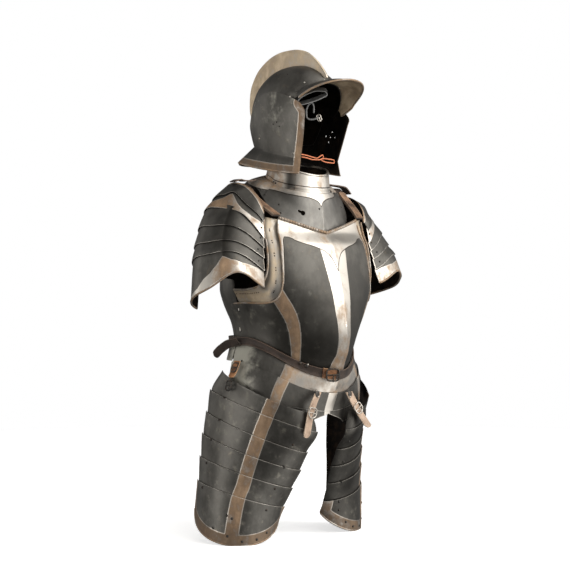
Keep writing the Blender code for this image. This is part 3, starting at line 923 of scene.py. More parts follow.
def lap_lift(n, upward):
    """A lame stands out at its free edge and in where its neighbour covers it."""
    if upward and n < LAST:
        stations, heights = (0, 1 / (1 + LAP), 1), (PROUD, TUCKED, TUCKED)
    elif not upward and n > 0:
        stations, heights = (0, LAP / (1 + LAP), 1), (TUCKED, TUCKED, PROUD)
    else:
        stations, heights = (0, 1), (PROUD, PROUD)
    return lambda along, down: np.interp(down, stations, heights)


def tasset_band(line):
    """The angle of the middle of the keeled band on each line."""
    return np.interp(line, (0, 0.8, 1.6, 4.6, 5.4, 6), (79.5, 84, 86, 86.5, 91, 94))


def tasset_marks(at, shape, n):
    """The band's crest swells, the border of the last lame is darkest at its foot, and off its band
    the left tasset is darkened all over as painted shade.
    """
    t = np.linspace(0, 1, 60)
    lines = np.linspace(-0.2, LAMES, 90)
    band = at(tasset_band(lines), lines)

    def marks(along, down, points):
        off = away(points, band)
        bright = BAND_HALF - off
        swell = 1.8 * np.clip(1 - off / BAND_HALF, 0, 1)
        if n == LAST:
            around = np.concatenate([shape(0 * t, t), shape(t, 0 * t + 1), shape(0 * t + 1, 1 - t)])
            bright = np.maximum(bright, BORDER - away(points, around))
        free = away(points, edge_of(shape, "top" if n else "foot", 60))
        fade = 1 + 0.9 * np.clip((off - 45) / 70, 0, 3)
        foot_dark = 0.62 * (n == LAST) * np.clip((down - 0.5) * 4, 0, 1)
        # painted shade: the left tasset, the far one, is darkened off its band
        return {"bright": bright, "brown": 0.92, "swell": swell,
                "rim": free * fade * (1.7 if n else 3),
                "dark": np.where(bright > 0, foot_dark, 0.65 * (points[:, 0] > 0))}

    return marks


t = np.linspace(0.0, 1.0, 80)
for side, name in SIDES:
    at, thigh = tasset_at(side), (side * 120, 40, -600)
    for n in range(LAMES):
        shape = lapped(at, TASSET_ENDS, n, upward=True)
        beaten(f"tasset_{name}_lame_{n + 1}", shape, 100, 14 if n < LAST else 24,
               f"tasset_{name}_{n + 1}", wall=LAME_WALL, lift=lap_lift(n, upward=True),
               marks=tasset_marks(at, shape, n), inside=thigh)
    turned_edge(f"tasset_{name}_foot_roll", edge_line(shape, t, 0 * t + 1, 0.8, thigh), 2.2)


# ---------------------------------------------------------------- pauldrons
# Each pauldron is six lames that lap downwards over the shoulder. The second has a filed
# band that rises to a cusp, and the lowest a broad border that rises with its arched front.

PAULDRON_ENDS = 2, 168
# front end, outermost and rear end of each line, then the cusp: its height, place and spread
PAULDRON = (
    ((155, -57, -60), (171, 10, 10), (162, 78, -34), (0, 40, 28)),
    ((161, -66, -82), (207, 20, -19), (168, 94, -66), (13, 68, 15)),
    ((162, -70, -122), (230, 22, -48), (172, 104, -96), (14, 44, 28)),
    ((164, -73, -143), (257, 12, -90), (182, 101, -130), (14, 42, 28)),
    ((167, -77, -166), (275, 2, -128), (193, 98, -166), (14, 42, 28)),
    ((170, -81, -195), (287, -10, -156), (203, 96, -204), (16, 42, 28)),
    ((176, -87, -232), (298, -22, -236), (210, 92, -281), (32, 42, 28)),
)
PRESSED, STILL = 0.87, -150  # the left shoulder's lames slid up and together about this level


def pauldron_at(side):
    """A point of a pauldron at an angle round it and a line down it."""
    def at(angle, line):
        angle = np.asarray(angle, float)
        lines = []
        for first, middle, last, (height, place, spread) in PAULDRON:
            row = hoop((first, middle, last), np.radians(angle))
            row[:, 2] += height * np.exp(-((angle - place) / spread) ** 2)
            if side > 0:
                row[:, 2] = (row[:, 2] - STILL) * PRESSED + STILL
            lines.append(row)
        return eased(np.arange(LAMES + 1), np.stack(lines), line) * np.array([side, 1, 1])
    return at


# outlines of the filed bands: angle, line
CUSP_BAND = ((-5, 1.28), (15, 1.32), (30, 1.55), (45, 1.62), (56, 1.46), (63, 1.28), (70, 1.10),
             (77, 1.12), (88, 1.24), (110, 1.42), (127, 1.50), (136, 1.52), (152, 1.55),
             (175, 1.45), (175, 2.4), (-5, 2.4))
FOOT_BAND = ((-5, 5.10), (12, 5.12), (22, 5.28), (36, 5.48), (51, 5.40), (62, 5.20), (70, 5.46),
             (80, 5.62), (92, 5.70), (104, 5.86), (124, 5.92), (150, 5.80), (175, 5.70),
             (175, 6.6), (-5, 6.6))
KEEL_AT = 64  # the angle of the keel that runs down the lames


def pauldron_marks(at, shape, n):
    """A narrow filed front edge, the bands of the second and last lame, and the keel's swell."""
    first, last = PAULDRON_ENDS

    def marks(along, down, points):
        angle = first + (last - first) * along
        flat = np.stack([angle, lame_line(n, down, False)], axis=1)
        bright, brown = 2.2 - away(points, edge_of(shape, "first", 60)), 0.55 + 0 * angle
        if n == 0:
            bright, brown = 6 - away(points, edge_of(shape, "top", 60)), 0.95 + 0 * angle
        if n == 1:
            bright = np.maximum(bright, patch(flat, points, CUSP_BAND, at))
            brown = np.interp(angle, (5, 24, 40, 70, 130), (0.12, 0.50, 0.30, 0.95, 0.9))
        if n == LAST:
            bright = np.maximum(bright, patch(flat, points, FOOT_BAND, at))
            brown = (0.38 + 0.5 * np.exp(-((angle - 58) / 12) ** 2)
                     - 0.45 * np.clip((angle - 72) / 12, 0, 1))
        # painted shade: on the lower lames a dark stripe runs down in front of the keel, on the
        # side that turns from the light; the two upper lames are darker all over off their bands
        shade = 0.85 * np.exp(-((63 - angle) / 24) ** 2) * np.clip((63.5 - angle) / 1.2, 0, 1)
        dark = (shade if n > 1 else 0.60 + 0 * angle) * (bright < 0)
        off = np.abs(angle - KEEL_AT) / 30
        keel = 4.2 * np.clip(1 - off, 0, 1) ** 1.3 - 0.8 * np.exp(-((off - 0.8) / 0.35) ** 2)
        return {"bright": bright, "brown": brown, "dark": dark, "swell": keel * (n > 1),
                "rim": away(points, edge_of(shape, "foot", 60)) * 1.7}

    return marks


t = np.linspace(0.0, 1.0, 90)
for side, name in SIDES:
    at, shoulder = pauldron_at(side), (side * 190, 5, -160)
    for n in range(LAMES):
        shape = lapped(at, PAULDRON_ENDS, n, upward=False)
        beaten(f"pauldron_{name}_lame_{n + 1}", shape, 96, 14 if n < LAST else 26,
               f"pauldron_{name}_{n + 1}", wall=LAME_WALL, lift=lap_lift(n, upward=False),
               marks=pauldron_marks(at, shape, n), inside=shoulder)
    turned_edge(f"pauldron_{name}_foot_roll", edge_line(shape, t, 0 * t + 1, 0.8, shoulder), 2.3)


# ---------------------------------------------------------------- gorget and collar
# The gorget is a front and a back plate that lie on the shoulders, with an upright collar
# whose edge is rolled. The collar is filed bright and runs down in a point at the front; a
# stud in a keyhole closes the halves.

# half width, front, back, height at front, side and back, boxiness, how sharply the front dips
COLLAR = (
    (73, 66, 66, 30.5, 54, 65, 1, 1.6),
    (75, 67, 69, 12, 32, 50, 1, 1.0),
    (79, 69, 73, -11, 10, 38, 1, 0.7),
)
GORGET = (
    (80, 70, 76, -12, 12, 38, 1, 0.7),
    (92, 78, 92, -45, 13, 34, 0.9, 0.7),
    (110, 83, 104, -76, 9, 28, 0.8, 0.7),
    (125, 84, 112, -106, -1, 18, 0.7, 0.7),
)


def ringed(rows, first, last):
    """A strip round the neck between two angles from the front: one ring for each row."""
    def shape(along, down):
        phi = np.radians(first + (last - first) * along)
        side, ahead = np.sin(phi), np.cos(phi)
        made = []
        for wide, front, back, low, middle, high, box, dip in rows:
            y = np.where(ahead > 0, -front, back) * np.abs(ahead) ** box
            z = middle + np.where(ahead > 0, (low - middle) * np.abs(ahead) ** dip,
                                  (high - middle) * np.abs(ahead) ** 0.7)
            made.append(np.stack([wide * side, y, z], axis=-1))
        return eased(np.arange(len(rows)), np.stack(made), down * (len(rows) - 1))
    return shape


def collar_marks(along, down, points):
    """Filed all over, with painted shade where it turns to the side, and a dark stripe below an
    engraved line.
    """
    phi = np.abs(np.degrees(np.arctan2(points[:, 0], -points[:, 1])))
    hollow = 0.62 * np.exp(-((down - 0.86) / 0.06) ** 2) * (phi < 60)
    # painted shade: the collar is darkened where it turns to the side
    return {"bright": FAR, "brown": 0.22 + 0.4 * np.clip((phi - 30) / 60, 0, 1),
            "line": (down - 0.72) * 43,
            "dark": np.clip(0.85 * np.exp(-((phi - 58) / 13) ** 2) + hollow, 0, 0.85)}


def gorget_marks(shape):
    """The filed neck comes down in a point that an engraved line borders; grey steel below, with
    painted shade darkening it towards the sides.
    """
    def marks(along, down, points):
        phi = 180 - np.abs(np.degrees(np.arctan2(points[:, 0], points[:, 1])))
        edge = np.interp(phi, (0, 2, 5, 9, 14, 23, 31, 42, 60, 84, 120, 180),
                         (-42, -37, -31.5, -29, -26, -23, -21.5, -19.5, -15, -5, 16, 26))
        foot = 7 - away(points, edge_of(shape, "foot")) - np.clip(phi - 34, 0, 60)
        bright = np.maximum((points[:, 2] - edge) * 0.8, foot)
        lower = np.clip((edge - points[:, 2]) / 30, 0, 1)
        crease = 6.5 * np.exp(-phi / 14) - 4.5
        # painted shade: the grey steel is darkened more towards the sides
        return {"bright": bright, "line": points[:, 2] - edge, "swell": crease * lower,
                "brown": 0.12 + 0.5 * np.clip((phi - 30) / 60, 0, 1),
                "dark": np.interp(phi, (20, 45, 80), (0.0, 0.55, 0.85)) * (bright < 0)}

    return marks


def drilled(holes, axis, long=30):
    """Bars that cut holes through a plate: a place and a radius for each, in mm."""
    bars = []
    turn = Vector(axis).to_track_quat("Z", "Y").to_euler()
    for *spot, radius in holes:
        bpy.ops.mesh.primitive_cylinder_add(vertices=20, radius=radius * MM, depth=long * MM,
                                            location=Vector(spot) * MM, rotation=turn)
        bars.append(bpy.context.active_object)
        bpy.ops.object.transform_apply()
    return bars


# a slot of small holes that ends in one large hole, for the stud's head
keyhole = drilled([(-60.4 + 9.8 * far, -74, -53 - 4.5 * far, 3.0 + (far == 1) * 2.6)
                   for far in (0, 0.25, 0.5, 0.75, 1)], (0.35, 1, 0))
t = np.linspace(0, 1, 60)
shape = ringed(COLLAR, -44, 44)
beaten("collar_front_steel", shape, 70, 16, "collar_front", wall=LAME_WALL, lift=2.4,
       marks=collar_marks, slot="bright_steel")
turned_edge("collar_front_roll", edge_line(shape, t, 0 * t, 2.0, (0, 0, 33)), 2.8, brown=0.3)
shape = ringed(COLLAR, 38, 322)
beaten("collar_back_steel", shape, 150, 16, "collar_back", wall=LAME_WALL,
       marks=collar_marks, slot="bright_steel")
turned_edge("collar_back_roll", edge_line(shape, t, 0 * t, -1.0, (0, 0, 45)), 2.8, brown=0.3)
shape = ringed(GORGET, -84, 84)
beaten("gorget_front_steel", shape, 130, 44, "gorget_front", wall=LAME_WALL, lift=4.0,
       marks=gorget_marks(shape), paint=GREY_STEEL, cuts=keyhole)
shape = ringed(GORGET, 79, 281)
beaten("gorget_back_steel", shape, 120, 36, "gorget_back", wall=LAME_WALL, lift=1.8,
       marks=gorget_marks(shape), paint=GREY_STEEL)


# ---------------------------------------------------------------- burgonet
# An open helmet: the skull is raised from one plate with a high comb, a peak is riveted on
# over the brow, hinged cheekpieces come down to the collar, and a flared guard covers the nape.

CENTRE = np.array([0, 0, 185.0])
HALF_HEAD = 87.0
# angle from the front over the top, reach, boxiness
SKULL = ((-5, 113, 0.88), (10, 115, 0.86), (28, 118, 0.80), (50, 112, 0.85), (70, 107, 0.90),
         (90, 105, 0.90), (120, 109, 0.90), (150, 116, 0.82), (180, 121, 0.75), (205, 124, 0.75),
         (222, 130, 0.75))
# the same angle, reach of the comb
CREST = ((33, 120), (37, 123), (42, 124), (48, 125), (54, 127), (62, 130), (75, 137), (89, 142),
         (102, 147), (118, 158), (133, 169), (147, 178), (157, 180), (168, 176), (179, 169),
         (184, 160), (192, 140), (200, 126))
# the comb's half thickness at each share of its height, up to its rolled edge
COMB = ((0, 4.2), (0.12, 2.6), (0.4, 2.0), (0.82, 1.7), (0.90, 2.7), (0.96, 2.9), (1.0, 0.4))


def skull_point(around, across, grow=0.0):
    """A point of the skull at an angle from the front over the top, and one from its middle."""
    rows = np.array(SKULL)
    reach, box = eased(rows[:, 0], rows[:, 1:], around).T
    around, across = np.radians(around), np.radians(across)
    out = (reach + grow) * np.abs(np.cos(across)) ** box
    return np.stack([(HALF_HEAD + grow) * np.sin(across) + 0 * out,
                     CENTRE[1] - out * np.cos(around),
                     CENTRE[2] + out * np.sin(around)], axis=-1)


def skull_shape(along, down):
    """Lowest at the brow and nape in the middle, and cut up over the ears."""
    across = -84 + 168 * along
    first = 28 - 19 * np.clip(np.abs(across) / 60, 0, 1.3) ** 4
    nape = 130 * np.cos(np.radians(across)) ** 0.75
    last = 180 + np.degrees(np.arcsin(np.minimum(73 / nape, 0.93)))
    return skull_point(first + (last - first) * down, across)


def comb_shape(along, down):
    """Round and back again across the comb, so that its foot closes inside the skull."""
    around = 34 + 165.5 * along
    rows, skull = np.array(CREST, float), np.array(SKULL)
    low = eased(skull[:, 0], skull[:, 1], around) - 3
    crest = np.maximum(eased(rows[:, 0], rows[:, 1], around) + 1.5, low + 2)
    climb = 1 - np.abs(2 * down - 1)
    share = np.clip(1.1 * climb, 0, 1)
    half = np.interp(share, *np.array(COMB).T) * np.clip(11 * climb, 0, 1)
    half = half * np.clip(np.minimum(along, 1 - along) * 90, 0, 1) ** 0.5 * np.sign(down - 0.5)
    reach = low + (crest - low) * share
    return np.stack([half, -reach * np.cos(np.radians(around)),
                     CENTRE[2] + reach * np.sin(np.radians(around))], axis=-1)


beaten("burgonet_skull_steel", skull_shape, 120, 100, "burgonet_skull", inside=CENTRE)
comb, along, down = flat_blank("burgonet_comb_steel", 150, 48)
move_to(comb, comb_shape(along, down))
in_edit(comb, join_seam, face_out)
marked(comb, brown=0.72 + 0.30 * np.clip((spots_of(comb)[:, 1] / MM + 20) / 90, -1, 1))
dress(comb, PALE_STEEL, "blackened_steel")


def peak_shape(along, down):
    """From its root under the brow, half way out, to its rim, drawn back along the temples."""
    swing = -85 + 193 * along
    ahead = np.cos(np.radians(swing))
    past = np.clip(swing / 90 - 1, 0, None)
    brow = 28 - 6 * np.abs(swing / 90) ** 4 - 60 * past
    root = [skull_point(brow + lap, 56 * swing / 90, 1.2) for lap in (7, 0)]
    height = np.where(ahead > 0, 49 * np.abs(ahead) ** 0.75, 65 * ahead)
    rim = np.stack([HALF_HEAD * np.sin(np.radians(swing)) - 30 * past, -92 - 88 * ahead,
                    192 + height], axis=-1)
    half = (root[1] + rim) / 2 + np.array([0, 0, 4.0])
    return eased((0, 0.12, 0.56, 1), np.stack([*root, half, rim]), down)


beaten("burgonet_peak_steel", peak_shape, 120, 44, "burgonet_peak", lift=WALL,
       marks=border_marks(peak_shape, 5, 0.35, "foot"), inside=(0, -120, 100), paint=PALE_STEEL,
       lining={"bright": FAR, "brown": 1.1, "inner": 0.0})
t = np.linspace(0, 1, 100)
turned_edge("burgonet_peak_roll", edge_line(peak_shape, t, 0 * t + 1, 1.0, (0, -100, 190)), 2.2)

# front edge, widest and rear edge of each line of a cheekpiece: x outwards, y, z. The upper
# lines differ from side to side, and the lower ones are alike.
CHEEK_RIGHT = (
    ((74, -90, 192), (90, -14, 222), (82, 54, 204)),
    ((70, -101, 172), (93, -8, 184), (79, 74, 172)),
)
CHEEK_LEFT = (
    ((76, -93, 166), (93, -14, 206), (82, 54, 204)),
    ((70, -98, 158), (94, -8, 174), (79, 74, 172)),
)
CHEEK = (
    ((67, -97, 150), (92, -6, 150), (77, 80, 146)),
    ((62, -87, 112), (88, -4, 118), (71, 80, 122)),
    ((57, -73, 66), (82, 2, 84), (64, 80, 102)),
    ((63, -75, 34), (94, 12, 46), (92, 106, 66)),
)


def bow(ends, share):
    """A shallow curve from a first end, through a middle, to a last end."""
    first, middle, last = (np.array(end, float) for end in ends)
    share = share[:, None]
    return first + (last - first) * share + 4 * share * (1 - share) * (middle - (first + last) / 2)


def bowed(rows, side, crease, tight=0.06):
    """A plate through a bow for each row, with a crease at one of the rows."""
    def shape(along, down):
        lines = np.stack([bow(row, along) for row in rows])
        place = down * (len(rows) - 1)
        upper = eased(np.arange(crease + 1), lines[:crease + 1], place)
        lower = eased(np.arange(crease, len(rows)), lines[crease:], place)
        share = np.clip((place - crease) / tight * 0.5 + 0.5, 0, 1)[:, None]
        return (upper + (lower - upper) * share) * np.array([side, 1, 1])
    return shape


def cheek_marks(shape):
    """Filed at the front and foot, with a painted highlight as a pale patch on the black high up,
    painted shade in the crease above the foot, and the foot's border darker.
    """
    def marks(along, down, points):
        to_foot = away(points, edge_of(shape, "foot"))
        front, foot = 16.5 - away(points, edge_of(shape, "first")), 16 - to_foot
        bright = np.maximum(front, foot)
        brown = np.where(foot > -3, 0.85, np.where(front > -3, 0.95, 1.15 - 0.5 * down))
        # painted highlight: a pale patch on the black, round a spot high on the cheek
        rubbed = ((points[:, 1] + 28) / 24) ** 2 + ((points[:, 2] - 176) / 30) ** 2
        brown = brown + 0.7 * np.exp(-rubbed) * (bright < 0)
        # painted shade: the crease above the foot is darkened
        crease = 0.7 * np.exp(-((down - 0.84) / 0.07) ** 2) * (bright < 0)
        return {"bright": bright, "brown": brown,
                "rim": np.minimum(to_foot, away(points, edge_of(shape, "last"))),
                "dark": 0.65 * np.clip(foot / 4, 0, 1) * (front < 0) + crease}

    return marks


# the holes over each ear: x, y, z, radius
EAR_HOLES = {
    "right": ((-92, -17, 147, 1.5), (-91, -28, 151, 1.5), (-89, -35, 141, 1.5)),
    "left": ((89, -20, 140, 2.1), (90, 2, 132, 2.1), (89, -15, 128, 2.1), (86, -34, 126, 2.1),
             (88, -10, 117, 2.1)),
}
for (side, name), top in zip(SIDES, (CHEEK_RIGHT, CHEEK_LEFT)):
    shape = bowed(top + CHEEK, side, 4)
    beaten(f"cheek_{name}_steel", shape, 64, 80, f"cheek_{name}", wall=LAME_WALL, lift=2.0,
           marks=cheek_marks(shape), inside=(0, 0, 120),
           cuts=drilled(EAR_HOLES[name], (side, -0.4, 0)))
    turned_edge(f"cheek_{name}_roll", edge_line(shape, t, 0 * t + 1, 2.2, (0, 0, 60)), 2.2)

# the neck guard, from under the skull to its flared foot: right end, middle and left end
NAPE = (
    ((-72, 66, 120), (0, 118, 122), (72, 66, 120)),
    ((-63, 69, 102), (0, 116, 102), (63, 69, 102)),
    ((-73, 84, 84), (0, 148, 82), (73, 84, 84)),
    ((-86, 99, 67), (0, 180, 66), (86, 99, 67)),
)
shape = bowed(NAPE, 1, 1, 0.2)
beaten("neck_guard_steel", shape, 90, 36, "neck_guard", wall=LAME_WALL,
       marks=border_marks(shape, 19, 0.8, "foot"), inside=(0, 0, 100))
turned_edge("neck_guard_roll", edge_line(shape, t, 0 * t + 1, 0.5, (0, 0, 60)), 2.2)


# ---------------------------------------------------------------- belt and straps
# The belt and the shoulder leathers are dark harness leather, and the straps that carry the
# tassets are a lighter tan. Edges are burnished, and the tabs, the belt's end and the tasset
# straps end in a rounded point.

def hide(name, dark, light, edge):
    """Harness leather: pores, clouds and creases, and an edge rubbed lighter."""
    paint, tree, shader = finish_of(name)
    cloud, fine = grain(tree, 40, 4, 0.6), grain(tree, 300, 4, 0.7)
    colour = mixed(tree, between(tree, cloud, 0.25, 0.75), dark, light)
    rubbed = node(tree, "Attribute", attribute_name="rim").outputs["Fac"]
    rubbed = between(tree, sums(tree, "ADD", rubbed, sums(tree, "MULTIPLY", fine, 2.2)), 2.6, 1.0)
    colour = mixed(tree, sums(tree, "MULTIPLY", rubbed, 0.75), colour, edge)
    colour = mixed(tree, between(tree, fine, 0.60, 0.80, 0.0, 0.5), colour, dimmed(dark, 0.4))
    feed(tree, shader, {"Base Color": colour, "Specular IOR Level": 0.45,
                        "Roughness": between(tree, cloud, 0.2, 0.8, 0.48, 0.72)})
    pores = sums(tree, "MULTIPLY", cells(tree, 650.0), 0.6)
    uneven(tree, shader, sums(tree, "ADD", pores, sums(tree, "MULTIPLY", fine, 0.9)), 0.0004, 0.7)
    return paint


DARK_HIDE = hide("dark_harness_leather", (0.017, 0.012, 0.009), (0.052, 0.035, 0.027),
                 (0.14, 0.095, 0.07))
TAN_HIDE = hide("tan_harness_leather", (0.22, 0.145, 0.10), (0.50, 0.37, 0.275),
                (0.62, 0.49, 0.37))
RUST_HIDE = hide("rusty_orange_leather", (0.050, 0.024, 0.013), (0.36, 0.165, 0.070),
                 (0.42, 0.26, 0.15))
SHOULDER_HIDE = hide("worn_brown_leather", (0.040, 0.024, 0.016), (0.27, 0.160, 0.095),
                     (0.38, 0.28, 0.20))
# the liner's pale grey edge colour stands for worn edges and for a painted sheen along its folds
LINER_HIDE = hide("liner_black_leather", (0.020, 0.021, 0.022), (0.075, 0.078, 0.080),
                  (0.24, 0.24, 0.24))
LEATHER, LINER = 2.8, 2.4


def cut_strap(name, shape, columns, rows, *nodes, wall=LEATHER, lift=LEATHER / 2,
              paint=DARK_HIDE, slot="dark_leather", **settings):
    """A strap made as a plate is, of leather; it keeps how far each point is from an edge."""
    def marks(along, down, points):
        return {"rim": np.minimum(*[away(points, edge_of(shape, edge, 120))
                                    for edge in ("top", "foot")])}

    return beaten(name, shape, columns, rows, *nodes, wall=wall, lift=lift, marks=marks,
                  paint=paint, slot=slot, **settings)


BELT_MIDDLE = (0, 0, -380)


def belt_shape(along, down):
    return trunk(-98 + 360 * along, -340 - 22 * down)


def belt_tab_shape(along, down):
    """A leather keeper round the belt beside its buckle."""
    return trunk(-15 + 12 * along, -338 - 25 * down)


def strap_shape(path, across, width, point=0.0):
    """A strap along a path; its last part, of the length point, narrows to a rounded end."""
    path = np.asarray(path, float)
    across = np.asarray(across, float) / np.linalg.norm(across)
    gone = gone_along(path)

    def shape(along, down):
        far = along * gone[-1]
        left = np.clip((gone[-1] - far) / point, 0, 1) if point else 1.0
        half = width / 2 * np.sqrt(np.clip(1 - (1 - left) ** 2, 0.02, 1))
        return eased(gone, path, far) + across * (half * (1 - 2 * down))[:, None]
    return shape


# the middle line of each strap: x, y, z; one that is alike on both sides has x outwards
SHOULDER_STRAP = ((130, -72, -66), (140, -44, -46), (146, -14, -24), (147, 10, -2),
                  (147, 30, 10), (145, 56, 11), (138, 84, 0), (130, 102, -16))
PAULDRON_STRAPS = {
    "right": ((-112, 30, 20), (-128, 28, 18), (-146, 26, 17), (-164, 22, 18.5), (-182, 20, 13)),
    "left": ((112, 30, 20), (128, 28, 18), (146, 26, 17), (165, 22, 14), (182, 20, -2)),
}
OUTER_STRAP = ((172, 15, -395), (177, 14, -406), (186, 12, -420), (194.5, 12, -432))
INNER_STRAPS = {
    "right": ((-53, -127, -465), (-76, -128, -510), (-88, -126, -566)),
    "left": ((42, -128, -468), (66, -130, -506), (97, -139, -552)),
}
BELT_END = ((-158.5, 28, -352), (-156, 64, -357), (-149, 101, -370), (-148, 128, -388))

cut_strap("belt_leather", belt_shape, 300, 10, "belt", lift=7.0, inside=BELT_MIDDLE, ring=True)
for side, name in SIDES:
    turn = np.array([side, 1, 1])
    cut_strap(f"shoulder_strap_{name}_leather", strap_shape(SHOULDER_STRAP * turn, (1, 0, 0), 24),
              60, 8, f"shoulder_strap_{name}", inside=(side * 140, 10, -150))
    cut_strap(f"pauldron_strap_{name}_leather", strap_shape(PAULDRON_STRAPS[name], (0, 1, 0), 22),
              30, 8, f"pauldron_strap_{name}", inside=(side * 140, 20, -150))
    cut_strap(f"outer_strap_{name}_leather",
              strap_shape(OUTER_STRAP * turn, (0.2 * side, 1, 0), 17, 6), 40, 8,
              f"outer_strap_{name}", inside=(0, 20, -420), paint=RUST_HIDE, slot="tan_leather")
    tab = np.array(SHOULDER_STRAP[:4]) + (0, -0.6, 3.4)
    cut_strap(f"shoulder_tab_{name}_leather", strap_shape(tab * turn, (1, 0, 0), 20, 8), 40, 8,
              inside=(side * 140, 10, -150), paint=SHOULDER_HIDE)
for name, path in INNER_STRAPS.items():
    cut_strap(f"inner_strap_{name}_leather", strap_shape(path, (1, 0.1, 0.1), 21, 10), 60, 8,
              f"inner_strap_{name}", inside=(0, 0, -500), paint=TAN_HIDE, slot="tan_leather")
cut_strap("belt_end_leather", strap_shape(BELT_END, (-0.43, 0.39, 0.81), 20, 10), 30, 8,
          "belt_end", inside=(0, 0, -400))
cut_strap("belt_tab_leather", belt_tab_shape, 20, 20, lift=9.6, wall=LINER,
          inside=BELT_MIDDLE, paint=RUST_HIDE)

# a folded loop of the liner's leather, and its lace, in a plane across the brow: place across
# it from the brow's right end, level
LOOP = ((-31, 196), (-19, 209), (-3, 218), (17, 224), (35, 223), (40, 216), (26, 207),
        (6, 199), (-12, 194), (-28, 191))
LACE = ((10, 170), (10, 184), (5, 194), (-1, 190), (-7, 176), (-6, 161), (2, 156), (12, 157),
        (22, 163))
BROW, ACROSS_BROW = np.array([-46, -90, 0]), np.array([0.743, -0.669, 0])
OUT_OF_BROW = np.array([-0.669, -0.743, 0])
LACE_BEHIND = 6  # mm that the lace hangs further inside than the loop


def on_brow(spots, behind=0.0):
    """Places on the plane across the brow, or so many mm behind it."""
    return [BROW + far * ACROSS_BROW - behind * OUT_OF_BROW + (0, 0, level)
            for far, level in spots]


cut_strap("liner_strap_leather", strap_shape(on_brow(LOOP), (0.50, 0.60, 0.62), 15), 90, 8,
          "liner_strap", wall=LINER, lift=LINER / 2, inside=(-50, -80, 208), paint=LINER_HIDE)
lace, _ = rod("liner_lace", on_brow(LACE, LACE_BEHIND), 2.0, 70)
# the lace takes the liner's pale grey edge colour all over: wear, and a painted sheen
marked(lace, rim=0.5)
dress(lace, LINER_HIDE, "dark_leather")


# ---------------------------------------------------------------- buckles
# Forged iron buckles with a bar, a frame and a tongue, blackened like the plates. Those of the
# inner tasset straps and of the liner's lace are worn grey.

IRON_BLACK, IRON_RUST = (0.060, 0.057, 0.053), (0.20, 0.135, 0.090)
IRON, tree, shader = finish_of("black_iron_buckle")
rust = grain(tree, 260, 4, 0.65)
feed(tree, shader, {
    "Base Color": mixed(tree, between(tree, rust, 0.5, 0.75), IRON_BLACK, IRON_RUST),
    "Metallic": 0.9, "Roughness": between(tree, rust, 0.2, 0.8, 0.34, 0.6)})
uneven(tree, shader, rust, 0.0004, 0.6)


def forged(name, centre, across, down, size, *nodes, paint=None, round_foot=False):
    """A buckle at a point in mm, across and down its strap: a squared ring, the bar that it
    turns on, and a tongue over it."""
    wide, thick, tall = size
    bar = min(thick, 4) * 0.5
    x = Vector(across).normalized()
    z = -Vector(down).normalized()
    y = z.cross(x).normalized()
    x = y.cross(z).normalized()
    place = Matrix((x, y, z)).transposed().to_4x4()
    place.translation = Vector(centre) * MM
    bpy.ops.object.select_all(action="DESELECT")
    bpy.ops.mesh.primitive_torus_add(major_segments=48, minor_segments=10, major_radius=1,
                                     minor_radius=0.25, rotation=(math.pi / 2, 0, 0))
    ring = bpy.context.active_object
    bpy.ops.object.transform_apply()
    for vertex in ring.data.vertices:
        px, py, pz = vertex.co
        turn = math.atan2(pz, px)
        off = math.hypot(px, pz) - 1
        corner = 2 if round_foot and pz < 0 else 4
        cos, sin = math.cos(turn), math.sin(turn)
        box = (abs(cos) ** corner + abs(sin) ** corner) ** (-1 / corner)
        vertex.co = ((wide / 2 - bar) * box * cos + off * 4 * bar * cos, py * 4 * bar,
                     (tall / 2 - bar) * box * sin + off * 4 * bar * sin)
    parts = [ring]
    for length, radius, turn, shift in (
            (wide - 2 * bar, bar * 0.8, (0, math.pi / 2, 0), (0, 0, 0)),
            (tall / 2 + bar, bar * 0.7, (0.10, 0, 0), (0, -bar * 1.3, -tall / 4))):
        bpy.ops.mesh.primitive_cylinder_add(vertices=12, radius=radius, depth=length,
                                            location=shift, rotation=turn)
        parts.append(bpy.context.active_object)
    bpy.ops.object.select_all(action="DESELECT")
    for part in parts:
        part.select_set(True)
    bpy.context.view_layer.objects.active = ring
    bpy.ops.object.join()
    ring.name = ring.data.name = name
    bpy.ops.object.transform_apply()
    ring.data.transform(Matrix.Scale(MM, 4))
    ring.data.transform(place)
    in_edit(ring, face_out)
    if paint:
        marked(ring, brown=0.1)
    return dress(ring, paint or IRON, "bright_steel" if paint else "black_iron", *nodes)


forged("belt_buckle_iron", trunk(-8.0, -351.0) + np.array([-2, -13.5, -1.0]), (1, -0.45, 0),
       (0, 0, -1), (34, 4, 31), "belt_buckle")
for side, name in SIDES:
    forged(f"outer_buckle_{name}_iron", (201.5 * side, 11, -449), (-0.1 * side, 1, 0),
           (0.25 * side, 0, -1), (24, 4, 26), f"outer_buckle_{name}")
    path = np.array(INNER_STRAPS[name], float)
    forged(f"inner_buckle_{name}_iron", path[1] + (0, -6.0, 0), (1, 0.1, 0.1),
           path[2] - path[1], (29, 3, 26), f"inner_buckle_{name}", paint=GREY_STEEL,
           round_foot=True)
    forged(f"outer_keeper_{name}_iron", (182 * side, 13, -409), (-0.1 * side, 1, 0),
           (0.55 * side, 0, -1), (24, 3, 26))
forged("liner_buckle_iron", on_brow([(22, 160)], LACE_BEHIND)[0], (0.6, -0.5, 0.35),
       (0.3, -0.2, -1), (12, 3, 17), paint=GREY_STEEL)


# ---------------------------------------------------------------- rivets
# Round-headed iron rivets hold the lames to their leathers and close the seams. Each head is a
# low dome hammered down on the plate. Studs are the same, filed bright, and so are the two
# small hooks at each side seam.

ABOVE_PLATE = 8  # mm outside its spot, where the search for a rivet's place on its plate starts


def cut_flat():
    bpy.ops.mesh.bisect(plane_co=(0, 0, -0.1), plane_no=(0, 0, 1), clear_inner=True,
                        use_fill=True)


